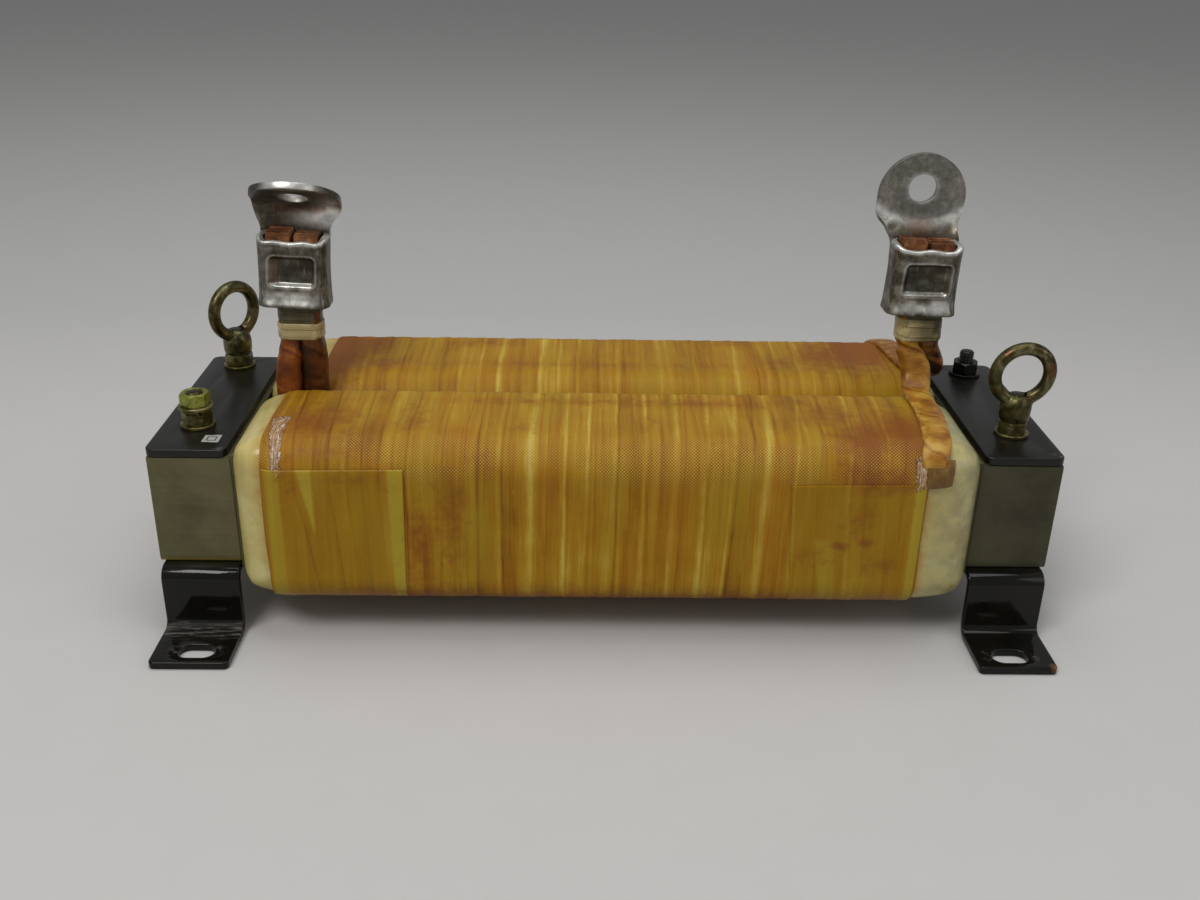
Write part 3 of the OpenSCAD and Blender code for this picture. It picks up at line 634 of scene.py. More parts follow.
def sticker_material(name):
    """White label with a thin dark border and nothing written on it."""
    p = Paint(name, Coat_Weight=0.2)
    at = p.place("UV")
    parts = p.split(at)
    inner = p.math("MAXIMUM", p.math("ABSOLUTE", parts["X"]), p.math("ABSOLUTE", parts["Y"]))
    line = p.times(p.grade(inner, 1.7 * MM, 1.85 * MM),
                  p.grade(inner, 2.5 * MM, 2.35 * MM))
    dirt = p.noise(at, 600, 3, 0.6)
    paper = p.ramp(dirt, (0.3, rgb(140, 138, 130)), (0.6, rgb(164, 164, 158)))
    p.set(Base_Color=p.mix(line, paper, rgb(58, 58, 62)),
          Roughness=p.grade(dirt, 0.3, 0.7, 0.3, 0.5))
    return p.mat


TAPE = tape_material("amber_tape")
FILM = tape_material("amber_film", film=True)
CREAM = cream_material("cream_tape")
# One steel in two copies: lighter for the left core end and the limbs as painted light, darker for
# the right end as painted shade.
STEEL_LIT = steel_material("core_steel_lit", (104, 99, 70))
STEEL_SHADED = steel_material("core_steel_shaded", (75, 72, 54))
SLOT_ENDS = [(side * SLOT_X + dx, row * SLOT_Y, FOOT_T, 6.0, 0.5)
             for side in (-1, 1) for row in (-1, 1) for dx in (-9.5, 9.5)]
BLACK = paint_material("black_gloss_paint", 0.0, 0.18, 0.26, SLOT_ENDS, True,
                       [(218.0, -103.5, 3, 3.4, 0.9)])
BLACK_PLATE = paint_material("black_plate_paint", 0.24, 0.38, 0.34,
                             [(-186, -62, PLATE_TOP, 4, 0.5), (219, -60, PLATE_TOP, 4, 0.5)])
CHROMATE = chromate_material("chromate", ((62, 56, 28), (104, 96, 54), (160, 152, 108)))
CHROMATE_EYE = chromate_material("chromate_eye", ((44, 40, 21), (78, 73, 42), (138, 132, 98)),
                                 (104, 66, 42))
CHROMATE_BRIGHT = chromate_material("chromate_bright",
                                    ((92, 92, 36), (136, 140, 56), (178, 182, 100)))
CHROMATE_DARK = chromate_material("chromate_dark", ((34, 31, 16), (54, 50, 28), (84, 78, 50)))
TINNED = tinned_material("tinned_copper")
LEAD_BROWN = lead_material("lead_tape_brown", (62, 24, 8), (122, 60, 18), (178, 112, 38))
LEAD_MAROON = lead_material("lead_tape_maroon", (26, 10, 6), (64, 30, 14), (112, 62, 28))
LEAD_AMBER = lead_material("lead_tape_amber", (96, 48, 12), (146, 97, 24), (184, 146, 60))
LEAD_REAR = lead_material("lead_tape_rear", (34, 16, 9), (128, 78, 24), (172, 128, 52))
PATCH = lead_material("patch_tape", (74, 46, 18), (112, 82, 38), (150, 120, 66))
BAND = lead_material("binding_tape", (118, 100, 66), (160, 144, 102), (196, 184, 146), 1.0)
# Darker copy of the binding tape for the right band: painted shade.
BAND_SHADED = lead_material("binding_tape_shaded", (44, 38, 22), (104, 96, 66), (184, 174, 126), 1.0)
WRAP_OLIVE = lead_material("lead_wrap_olive", (34, 29, 16), (66, 60, 36), (104, 98, 68), 0.6)
COPPER = copper_material("bare_strands")
BOARD = board_material("pressboard", (150, 138, 100))
# Darker pressboard, used for the formers.
BOARD_DARK = board_material("pressboard_dark", (82, 76, 42))
GLASS = glass_cloth_material("frayed_glass_cloth")
STICKER = sticker_material("sticker_paper")


# ------------------------------------------------------------ coils

FLAT_W, FLAT_H, ARC = HALF_W - EDGE_R, HALF_H - EDGE_R, EDGE_R * math.pi / 2
LEGS = np.array([FLAT_H, ARC, 2 * FLAT_W, ARC, 2 * FLAT_H, ARC, 2 * FLAT_W, ARC, FLAT_H])
STOPS = np.concatenate([[0], np.cumsum(LEGS)])
GIRTH = STOPS[-1]
FACE = STOPS[4]        # where the outer face begins, at the end of the upper rounding


def section(s, inset, inset_h=None, r=None):
    """Point and normal round the coil's section: up the inner side, over the top,
    down the outer side and back below. First values point outwards from the core.
    The insets make it smaller, and r is the radius of its corners."""
    s = np.mod(s, GIRTH - 1e-6)
    k = np.clip(np.searchsorted(STOPS, s, side="right") - 1, 0, 8)
    f = (s - STOPS[k]) / LEGS[k]
    zero, one = 0 * f, 0 * f + 1
    across = np.choose(k, [-one, -one, 2 * f - 1, one, one, one, 1 - 2 * f, -one, -one])
    upward = np.choose(k, [f, one, one, one, 1 - 2 * f, -one, -one, -one, f - 1])
    turn = np.choose(k, [zero + 180, 180 - 90 * f, zero + 90, 90 - 90 * f, zero, -90 * f,
                         zero - 90, -90 - 90 * f, zero - 180])
    turn = np.radians(turn)
    a, b = HALF_W - inset, HALF_H - (inset if inset_h is None else inset_h)
    r = np.clip(EDGE_R - 2.4 * inset, 3.0, EDGE_R) if r is None else r
    nw, nh = np.cos(turn), np.sin(turn)
    return across * (a - r) + r * nw, upward * (b - r) + r * nh, nw, nh


def coil_point(x, s, lift=0.0, rear=False):
    """Point in mm on the coil at x along it and s round it, lifted off the skin."""
    x, s, lift = np.broadcast_arrays(np.asarray(x, float), np.asarray(s, float),
                                     np.asarray(lift, float))
    over = np.clip((np.abs(x) - (COIL_END - END_R)) / END_R, 0, 1)
    level = np.sqrt(1 - over ** 2)
    w, h, nw, nh = section(s, END_R * (1 - level))
    side = np.sign(x)
    points = np.stack([x + lift * over * side, -(COIL_Y + w + lift * nw * level),
                       COIL_Z + h + lift * nh * level], -1)
    if rear:
        points[..., :2] *= -1
    return points


# Tape edges: place along the front face, drift over the top, drift downwards,
# width of the pale or dark line that shows, and its tone (above 0 paler; below 0
# a dark line at the lap's step, as painted shade).
FRONT_EDGES = [
    (-158.6, 0.5, -2.0, 2.0, 0.16), (-154.4, 1.0, -2.5, 1.6, -0.1), (-147.0, -5.5, 7.0, 1.0, -0.42),
    (-138.0, -3.0, 3.5, 1.2, -0.16), (-130.6, -4.0, 3.4, 0.9, -0.34),
    (-122.5, -2.5, 1.0, 1.0, -0.14), (-115.6, -2.0, 1.6, 0.8, -0.3),
    (-107.4, 0.5, 0.8, 0.9, -0.1), (-95.2, 2.0, -1.6, 0.9, -0.36),
    (-87.0, 1.5, -2.0, 1.0, -0.16), (-79.4, 1.5, -3.0, 1.4, 0.16), (-67.9, 1.4, -0.3, 0.8, -0.22),
    (-61.8, 1.2, -1.0, 0.8, -0.36), (-52.3, 1.6, -0.4, 1.8, 0.34), (-44.6, 1.0, -0.6, 0.8, -0.14),
    (-36.4, 1.2, -2.3, 3.6, 0.3), (-29.0, 1.5, -2.0, 0.8, -0.2), (-21.4, 2.0, -1.4, 1.9, 0.34),
    (-10.6, 2.6, -1.4, 1.4, 0.26), (-4.0, 2.6, -1.2, 0.7, -0.2), (3.8, 2.8, -1.8, 1.0, -0.38),
    (10.0, 3.0, -1.0, 0.8, -0.1), (16.4, 2.8, -0.6, 1.4, 0.24), (23.8, 3.4, -1.2, 0.8, -0.14),
    (30.3, 3.8, -2.0, 2.6, 0.34), (35.0, 4.4, -2.2, 0.8, -0.3), (44.9, 5.6, -2.0, 1.9, 0.3),
    (52.6, 5.8, -2.4, 0.8, -0.12), (58.6, 6.4, -3.0, 1.7, 0.28), (67.2, 6.4, -3.2, 0.9, -0.3),
    (74.3, 6.4, -2.4, 2.8, 0.36), (81.6, 7.4, -0.6, 0.8, -0.1), (87.3, 8.4, 1.2, 1.5, 0.24),
    (98.4, 7.8, 2.0, 1.0, -0.3), (105.6, 7.2, 2.0, 0.9, -0.12), (113.0, 6.6, 2.4, 1.4, 0.24),
    (121.0, 5.0, 2.6, 1.0, -0.24), (130.2, 4.0, 2.6, 1.4, 0.2), (138.4, 2.5, 1.4, 0.9, -0.24),
    (145.6, 1.0, -1.0, 2.4, 0.2),
]
REAR_EDGES = [
    (-156.0, 1.0, 1.0, 1.2, -0.2), (-147.0, 2.0, 1.0, 1.4, 0.16), (-137.0, 2.0, 0.0, 1.0, -0.2),
    (-127.0, 1.0, 0.0, 1.6, 0.22), (-116.5, 1.0, 0.5, 1.0, -0.2), (-106.0, 1.0, 0.5, 1.6, 0.26),
    (-95.0, 2.0, 1.0, 1.2, 0.2), (-84.0, 2.0, 1.0, 1.0, -0.2), (-73.0, 2.0, 1.0, 1.8, 0.3),
    (-61.5, 2.0, 1.0, 1.2, 0.2), (-50.5, 2.0, 1.0, 1.8, 0.3), (-40.0, 1.5, 1.0, 1.2, -0.16),
    (-29.0, 1.0, 0.5, 2.0, 0.3), (-18.0, 1.0, 0.5, 1.2, 0.2), (-7.5, 1.0, 0.5, 2.2, 0.3),
    (3.5, 0.5, 0.5, 1.2, -0.16), (14.0, 0.5, 0.5, 1.8, 0.28), (25.0, 0.0, 0.5, 1.2, 0.2),
    (35.5, 0.0, 0.5, 1.8, 0.3), (46.0, -0.5, 0.5, 1.0, -0.2), (57.0, -1.0, 0.5, 2.0, 0.28),
    (68.0, -1.0, 0.5, 1.2, 0.2), (78.5, -1.5, 0.0, 1.8, 0.28), (89.0, -2.0, 0.0, 1.0, -0.24),
    (100.0, -2.0, 0.0, 1.6, 0.2), (111.0, -2.5, 0.0, 1.0, -0.26), (121.5, -3.0, 0.0, 1.2, -0.2),
    (132.0, -3.0, 0.0, 1.4, 0.2), (142.0, -3.0, 0.0, 1.0, -0.24),
]
# Blotches of red-brown varnish: x, s, half length, half girth, strength
FRONT_STAINS = [
    (-142, 90, 26, 24, 0.75), (-124, 110, 18, 16, 0.6), (-150, 126, 12, 22, 0.4),
    (-118, 128, 22, 10, 0.45), (-90, 165, 8, 26, 0.7), (-75, 150, 9, 34, 0.6),
    (-96, 88, 12, 22, 0.5), (-62, 120, 12, 12, 0.4), (124, 104, 17, 22, 1.0),
    (141, 96, 18, 32, 1.0), (116, 122, 11, 12, 0.7), (130, 126, 22, 9, 0.9),
    (110, 78, 20, 18, 0.65), (120, 150, 10, 14, 0.5), (100, 168, 16, 9, 0.4),
    (132, 172, 16, 9, 0.45), (20, 197, 210, 6, 0.75), (92, 60, 16, 14, 0.5), (40, 64, 70, 7, 0.5),
    (-30, 63, 80, 6, 0.5), (60, 112, 16, 12, 0.35), (-98, 194, 50, 8, 0.7), (112, 162, 6, 3, 0.8),
    (123, 160, 6, 3, 0.8), (-40, 95, 12, 14, 0.3), (18, 92, 14, 20, 0.3),
]
REAR_STAINS = [
    (148, 78, 20, 44, 1.35), (130, 92, 12, 26, 0.9), (118, 62, 14, 12, 0.6),
    (-120, 80, 18, 28, 0.95), (-142, 90, 20, 34, 1.3), (-96, 66, 14, 16, 0.5),
    (0, 62, 150, 5, 0.35), (70, 96, 26, 8, 0.5), (-70, 98, 20, 7, 0.4),
]


def wrap_values(x, s, edges, stains, seed):
    """Height of the laps in mm, and the tone, stain and cloth of the tape."""
    x, s = np.broadcast_arrays(np.asarray(x, float), np.asarray(s, float))
    over_top = np.interp(s, [0, STOPS[2], 118, 134, STOPS[5], GIRTH], [0.6, 1, 0.1, 0, 0, 0.6])
    under = np.interp(s, [0, 134, 185, STOPS[7], GIRTH], [0.3, 0, 1, 1, 0.3])
    wander = 0.35 * field(x * 0, s, 1, GIRTH / 14, seed + 7, 14)
    chance = np.random.default_rng(seed)
    tone = 0.5 + 0 * x
    rise = 0 * x
    done = np.full(x.shape, -1e3)
    following = np.full(x.shape, 1e3)
    shade_of = chance.uniform(-0.08, 0.08, len(edges) + 1)
    level = np.zeros(x.shape) + shade_of[0]
    for i, (at, top, low, width, light) in enumerate(edges):
        place = at + top * over_top + low * under + wander * (1 + i % 3) * 0.6
        fade = 0.75 + 0.25 * field(x * 0 + i * 3.1, s, 1, GIRTH / 9, seed + 3, 9)
        if light > 0:
            tone = tone + 0.82 * light * fade * bell(x, place, width * 0.78)
            tone = tone - 0.15 * fade * bell(x, place + width * 1.05, 0.5)
        else:
            # Dark line at the lap's step: painted shade.
            tone = tone + 0.85 * light * fade * bell(x, place, width * 0.55)
        past = x >= place
        level = np.where(past, shade_of[i + 1], level)
        done = np.where(past, np.maximum(done, place), done)
        following = np.where(~past, np.minimum(following, place), following)
    span = np.clip(following - done, 4, 18)
    part = np.clip((x - done) / span, 0, 1)
    rise = 0.3 * (1 - part) * step(x, done + 0.1, 0.2)
    rise = rise + 0.16 * field(x, s, 9, GIRTH / 12, seed + 1, 12)
    rise = rise + 0.1 * field(x, s, 2.6, GIRTH / 7, seed + 2, 7)
    rise = rise + 0.05 * field(x, s, 3.3, GIRTH / 60, seed + 5, 60)
    tone = tone + level + 0.09 * field(x, s, 2.3, GIRTH / 5, seed + 4, 5)
    tone = tone + 0.07 * field(x, s, 11, GIRTH / 9, seed + 6, 9)
    tone = tone + 0.08 * field(x + 0.02 * s, s, 1.3, GIRTH / 3, seed + 12, 3)
    stain = 0 * x
    for at, girth, half, half_s, strength in stains:
        stain = np.maximum(stain, strength * bell(x, at, half) * bell(s, girth, half_s))
    tone = tone - 0.17 * stain
    # Cloth peaks on the upper outer rounding: real weave, drawn stronger there as painted sheen.
    cloth = bell(s, 116, 15) * np.clip(0.75 + 0.75 * field(x, s, 15, 9, seed + 8), 0.1, 1.3)
    cloth = np.maximum(cloth, 0.3 * bell(s, 88, 34)) + 0.05
    return rise, tone, stain, np.clip(cloth, 0, 1)


def tape_wrap(name, rear, node):
    """Outer wrap of amber tape; on the front coil the last laps at the right are skewed."""
    edges = REAR_EDGES if rear else FRONT_EDGES
    stains = REAR_STAINS if rear else FRONT_STAINS
    seed = 40 if rear else 11
    columns, rows = (350, 150) if rear else (460, 186)
    x = np.linspace(TAPE_FROM, TAPE_TO, columns)
    s = np.linspace(0, GIRTH, rows, endpoint=False)
    grid_x, grid_s = np.meshgrid(x, s, indexing="ij")
    rise, tone, stain, cloth = wrap_values(grid_x, grid_s, edges, stains, seed)
    hem = np.minimum(step(grid_x, TAPE_FROM + 0.5, 0.35), step(-grid_x, -TAPE_TO + 0.5, 0.35))
    ends = np.minimum(1, np.abs(grid_x / TAPE_FROM)) ** 12
    skew = ends * 0.9 * field(grid_x * 0, grid_s, 1, GIRTH / 8, seed + 9, 8)
    if not rear:
        skew += (5.0 * np.clip((grid_x - 120) / 31, 0, 1) ** 2 * step(112 - grid_s, 0, 5)
                 * step(grid_s, 50, 3))
    lift = -TAPE_DEPTH + hem * (0.75 + rise)
    points = coil_point(grid_x + skew, grid_s, lift, rear)
    ob = surface(name, points, TAPE, loop_v=True, uv=(x, np.append(s, GIRTH)),
                 attrs={"tone": tone, "stain": stain, "cloth": cloth})
    return finish_piece(ob, [node])


def pale_wrap(name, rear, node):
    """Cream tape round the ends of the coil, rounded over towards the former."""
    length = PALE_END - PALE_BEND
    s = np.linspace(0, GIRTH, 190, endpoint=False)
    pieces = []
    for side in (-1, 1):
        inner = abs(TAPE_FROM + 8) if side < 0 else abs(TAPE_TO - 8)
        turn = np.linspace(math.asin(max(0.0, inner - PALE_BEND) / length), math.pi / 2, 44)
        flat = np.linspace(inner, PALE_BEND, 8, endpoint=False) if inner < PALE_BEND else np.zeros(0)
        xs = np.concatenate([flat, PALE_BEND + length * np.sin(turn),
                             [PALE_END + 0.15, PALE_END + 0.3]])
        fall = np.concatenate([0 * flat, 1 - np.cos(turn), [1.06, 1.2]])[:, None]
        grid_x, grid_s = np.meshgrid(side * xs, s, indexing="ij")
        seed = 60 + 5 * rear + side
        bumps = 0.22 * field(grid_x, grid_s, 7, GIRTH / 16, seed, 16)
        bumps += 0.1 * field(grid_x, grid_s, 2.4, GIRTH / 70, seed + 1, 70)
        lift = -PALE_DEPTH + bumps * (1 - 0.6 * np.clip(fall, 0, 1))
        w, h, nw, nh = section(grid_s, (HALF_W - MOUTH_W) * fall, (HALF_H - MOUTH_H) * fall,
                               np.clip(EDGE_R - 21 * fall, MOUTH_R, EDGE_R) + 0 * grid_s)
        points = np.stack([grid_x, -(COIL_Y + w + lift * nw), COIL_Z + h + lift * nh], -1)
        if rear:
            points[..., :2] *= -1
        stain = 0.5 * bell(np.abs(grid_x) - inner - 8, 0, 4) + 0.35 * np.clip(
            field(grid_x, grid_s, 10, GIRTH / 10, seed + 2, 10), 0, 1)
        # The last two rows, past the end at the former, take that dark: painted shade.
        stain[-2:] = 2.0
        stain += 0.55 * np.clip(fall, 0, 1) * step(-np.abs(grid_s - FACE - 68), -16, 6)
        pieces.append(surface(name + "_end", points, CREAM, loop_v=True, attrs={"stain": stain},
                              uv=(0.9 * np.arange(len(xs)), np.append(s, GIRTH))))
    ob = joined(name, pieces)
    ob.data.shade_smooth()
    return finish_piece(ob, [node])


tape_wrap("tape_front", False, "tape_wrap_front")
tape_wrap("tape_rear", True, "tape_wrap_rear")
pale_wrap("cream_ends_front", False, "pale_wrap_front")
pale_wrap("cream_ends_rear", True, "pale_wrap_rear")


# ------------------------------------------------------------ leads

# Where the two leads of a pair meet: height, shift outwards
SEAM_LEFT = [[94.6, 2], [115.6, 1.4], [120.6, 0.9], [125.6, 0.4], [129.1, 0.1], [131.1, 0],
             [151.1, 0]]
SEAM_RIGHT = [[94.6, 7.4], [115.6, 7.4], [120.6, 7], [127.6, 4.2], [132.1, 0.8], [134.1, 0],
              [151.1, 0]]
FIT, LEAD_W, BOUND_W, BOUND_D = 0.1, 14.0, 10.6, 14.0
STRAP_T = 4.0


def by_seam(i, side, out, y, w, d):
    """Station of a lead beside its pair's seam: x, y, z, width, depth."""
    height, shift = (SEAM_LEFT if side < 0 else SEAM_RIGHT)[i]
    w += 1.1
    return [side * (LUG_X + shift + out * (w / 2 - 0.85)) + PAIR_SHIFT, y, height, w, d]


def start_stations(row, out):
    """Left leads, which come up between the coils."""
    sizes = [(2, 13, 9), (1.4, 12.8, 13), (1, 12.2, BOUND_D), (0.4, 11.5, BOUND_D),
             (0, 11.0, BOUND_D - 0.3), (0, BOUND_W, BOUND_D), (0, BOUND_W, BOUND_D - 0.6)]
    return [by_seam(i, -1, out, y * row, w, d) for i, (y, w, d) in enumerate(sizes)]


def finish_stations(row, out):
    """Right leads: from the coil's outer edge flat over its top, then up to the lug."""
    drift, rise_w = (0, LEAD_W) if out < 0 else (1, 9.4)
    seat = COIL_TOP - TAPE_DEPTH + STRAP_T / 2 + FIT
    strap = [(1.6, 5, 2.2, COIL_TOP - 11.5, LEAD_W - 4, 2),
             (1.8, 5, 2.6, COIL_TOP - 8.5, LEAD_W - 1.5, 3),
             (2.8, 5, 5.4, COIL_TOP - 4.4, LEAD_W, STRAP_T - 0.6),
             (4.6, 5, 13, seat - 1.5, LEAD_W, STRAP_T - 0.4),
             (6.4, 5, 26, seat, LEAD_W, STRAP_T),
             (8.4, 6, 50, seat, LEAD_W, STRAP_T),
             (8, 9, 66, seat + 0.8, LEAD_W - 2 * drift, STRAP_T + 0.6)]
    rise = [(6.5, rise_w, 8), (3, rise_w, 11.5), (1, rise_w, BOUND_D - 2),
            (0.2, BOUND_W, BOUND_D - 1.2), (0, BOUND_W, BOUND_D), (0, BOUND_W, BOUND_D)]
    return ([[LUG_X - LEAD_W / 2 + x + more * drift, row * (82.0 - inwards), z, w, d]
             for x, more, inwards, z, w, d in strap]
            + [by_seam(i, 1, out, row * y, w, d) for i, (y, w, d) in enumerate(rise, 1)])


def lead(name, stations, node, material, seed, pitch, tone_and_shade_at):
    """Bundle wound with tape: a swept section with spiral laps and creases."""
    st = np.array(stations, float)
    walk = np.concatenate([[0], np.cumsum(np.linalg.norm(np.diff(st[:, :3], axis=0), axis=1))])
    n = int(walk[-1] / 0.7)
    t = np.linspace(0, walk[-1], n)
    # cubic through the stations, with slopes that keep it from overshooting
    delta = np.diff(st, axis=0) / np.diff(walk)[:, None]
    slope = np.zeros_like(st)
    slope[0], slope[-1] = delta[0], delta[-1]
    same = np.sign(delta[:-1]) == np.sign(delta[1:])
    slope[1:-1] = np.where(same, 2 * delta[:-1] * delta[1:] / (delta[:-1] + delta[1:] + 1e-12), 0)
    k = np.clip(np.searchsorted(walk, t, side="right") - 1, 0, len(walk) - 2)
    h = (walk[k + 1] - walk[k])[:, None]
    f = (t - walk[k])[:, None] / h
    p = ((2 * f ** 3 - 3 * f ** 2 + 1) * st[k] + (f ** 3 - 2 * f ** 2 + f) * h * slope[k]
         + (3 * f ** 2 - 2 * f ** 3) * st[k + 1] + (f ** 3 - f ** 2) * h * slope[k + 1])
    heading = np.unwrap(np.arctan2(np.gradient(p[:, 2]), np.gradient(p[:, 1])))
    heading = np.convolve(np.pad(heading, 4, mode="edge"), np.ones(9) / 9, mode="valid")
    sides = 72
    a = np.linspace(0, 2 * math.pi, sides, endpoint=False)
    e = 0.62
    ca = np.sign(np.cos(a)) * np.abs(np.cos(a)) ** e
    sa = np.sign(np.sin(a)) * np.abs(np.sin(a)) ** e
    turns = t[:, None] / pitch + a[None, :] / (2 * math.pi)
    part = turns - np.floor(turns)
    lap = np.floor(turns).astype(int)
    chance = np.random.default_rng(seed).uniform(-1, 1, 200)
    crease = field(t[:, None] + 0 * a, a[None, :], 3.2, 2 * math.pi / 9, seed, 9)
    broad = field(t[:, None] + 0 * a, a[None, :], 14, 2 * math.pi / 5, seed + 1, 5)
    off = -0.3 + 0.15 * (1 - part) + 0.2 * crease + 0.26 * broad
    w = p[:, 3, None] / 2 + off
    d = p[:, 4, None] / 2 + off * np.minimum(1, p[:, 4, None] / 8)
    grid = np.stack([p[:, 0, None] + w * ca, p[:, 1, None] + d * sa * np.sin(heading)[:, None],
                     p[:, 2, None] - d * sa * np.cos(heading)[:, None]], -1)
    # Tone varies at random by lap and crease; the dark line where each lap starts is painted shade
    # at its step.
    tone = 0.5 + 0.13 * chance[lap % 200] + 0.12 * crease - 0.3 * bell(part, 0.02, 0.04)
    tone += 0.12 * bell(part, 0.1, 0.06)
    # Adds each lead's tone by height, and its painted shade along the seam.
    tone += tone_and_shade_at(grid[..., 0], grid[..., 2])
    girth = a * (p[:, 3].mean() + p[:, 4].mean()) / 4
    ob = surface(name, grid, material, loop_v=True, cap=True,
                 uv=(t, np.append(girth, girth[-1] + girth[1])), attrs={"tone": tone})
    return finish_piece(ob, [node])


# The last argument darkens three of the leads along the seam with their pair, as painted shade, and
# lightens or darkens each by height or all along.
lead("lead_start_front", start_stations(-1, 1), "start_lead_front", LEAD_BROWN, 3, 24,
     lambda x, z: -0.35 * bell(x, 1.6 - LUG_X, 2.2) - 0.2 * step(z, 126, 2))
lead("lead_start_rear", start_stations(1, -1), "start_lead_rear", LEAD_MAROON, 4, 26,
     lambda x, z: -0.4 * bell(x, 1.6 - LUG_X, 3.4) + 0.15 * bell(z, 112, 8))
lead("lead_finish_front", finish_stations(-1, -1), "finish_lead_front", LEAD_AMBER, 5, 30,
     lambda x, z: 0.08 - 0.1 * bell(x, LUG_X + 2, 2.4))
lead("lead_finish_rear", finish_stations(1, 1), "finish_lead_rear", LEAD_REAR, 6, 28,
     lambda x, z: 0.12 - 0.55 * step(z, 113.2, 0.8))


def lug_frame(side):
    """Where a lug's barrel starts, and how far it leans sideways."""
    return (Matrix.Translation(Vector((side * LUG_X, 0, LUG_Z)) * MM)
            @ Matrix.Rotation(math.radians(LEAN[side]), 4, "Y"))


def band(side, name, nodes, z0, height, material, grow=0.0, to_right=0.0):
    """Binding tape round a pair of leads, a few flat turns."""
    n, sides = 34, 160
    z = np.linspace(0, height, n)
    outline = np.array(rounded(23.2, BOUND_D + 1.3, 6.2, n=39))[:sides]
    radial = outline / np.linalg.norm(outline, axis=1)[:, None]
    j = np.arange(sides)
    lapped = (z[:, None] / height * 2.2 + j[None, :] / sides * 0.8) % 1
    off = grow - 0.15 + 0.22 * (1 - lapped) + 0.14 * field(
        z[:, None] + 0 * j, j[None, :], 2.2, sides / 16, 21 + side, 16)
    off -= 0.5 * (bell(z, 0, 0.5) + bell(z, height, 0.5))[:, None]
    off -= 0.5 * (np.abs(outline[:, 0]) < 2.2) * bell(outline[:, 0], 0, 1.6)
    x = side * LUG_X + PAIR_SHIFT + outline[None, :, 0] + off * radial[None, :, 0]
    y = outline[None, :, 1] + off * radial[None, :, 1]
    grid = np.stack([x, y, z0 + z[:, None] + 0 * x], -1)
    tone = 0.55 + 0.2 * field(z[:, None] + 0 * j, j[None, :], 3, sides / 10, 25 + side, 10)
    # Dark line at each lap's step: painted shade.
    tone -= 0.3 * bell(lapped, 0.02, 0.06)
    # A to_right below 0 darkens the band towards its right and lightens its left: painted shade and
    # light.
    tone += to_right * outline[None, :, 0] / 11
    ob = surface(name, grid, material, loop_v=True, attrs={"tone": tone},
                 uv=(z, np.append(j, sides) * 0.46))
    return finish_piece(thickened(ob, 0.5), nodes)


band(-1, "binding_left", ["lead_band_left"], BAND_Z[-1], BAND_H[-1], BAND)
band(1, "binding_right", ["lead_band_right"], BAND_Z[1], BAND_H[1], BAND_SHADED, 0, -0.42)
band(-1, "olive_wrap_left", [], 140.2, 10.6, WRAP_OLIVE, -0.55)
band(1, "olive_wrap_right", [], 146.6, 4.6, WRAP_OLIVE, -0.4)


# ------------------------------------------------------------ lugs

def barrel_outline():
    """Points and outward directions round the barrel, from its front left corner."""
    half_w, half_d, r = BARREL_W / 2, BARREL_D / 2, 6.0
    flat_w, flat_d = half_w - r, half_d - r
    front = np.concatenate([np.linspace(-flat_w, -1.2, 48, endpoint=False),
                            np.linspace(-1.2, 1.2, 17, endpoint=False),
                            np.linspace(1.2, flat_w, 48, endpoint=False)])
    along = np.linspace(-flat_d, flat_d, 10, endpoint=False)
    rows = [(x, -half_d, 0, -1) for x in front]

    def corner(cx, cy, start):
        for i in range(16):
            a = math.radians(start + 90 * i / 16)
            rows.append((cx + r * math.cos(a), cy + r * math.sin(a), math.cos(a), math.sin(a)))

    corner(flat_w, -flat_d, -90)
    rows += [(half_w, y, 1, 0) for y in along]
    corner(flat_w, flat_d, 0)
    rows += [(x, half_d, 0, 1) for x in np.linspace(flat_w, -flat_w, 40, endpoint=False)]
    corner(-flat_w, flat_d, 90)
    rows += [(-half_w, y, -1, 0) for y in np.linspace(flat_d, -flat_d, 10, endpoint=False)]
    corner(-flat_w, -flat_d, 180)
    rows = np.array(rows)
    return rows[:, :2], rows[:, 2:]


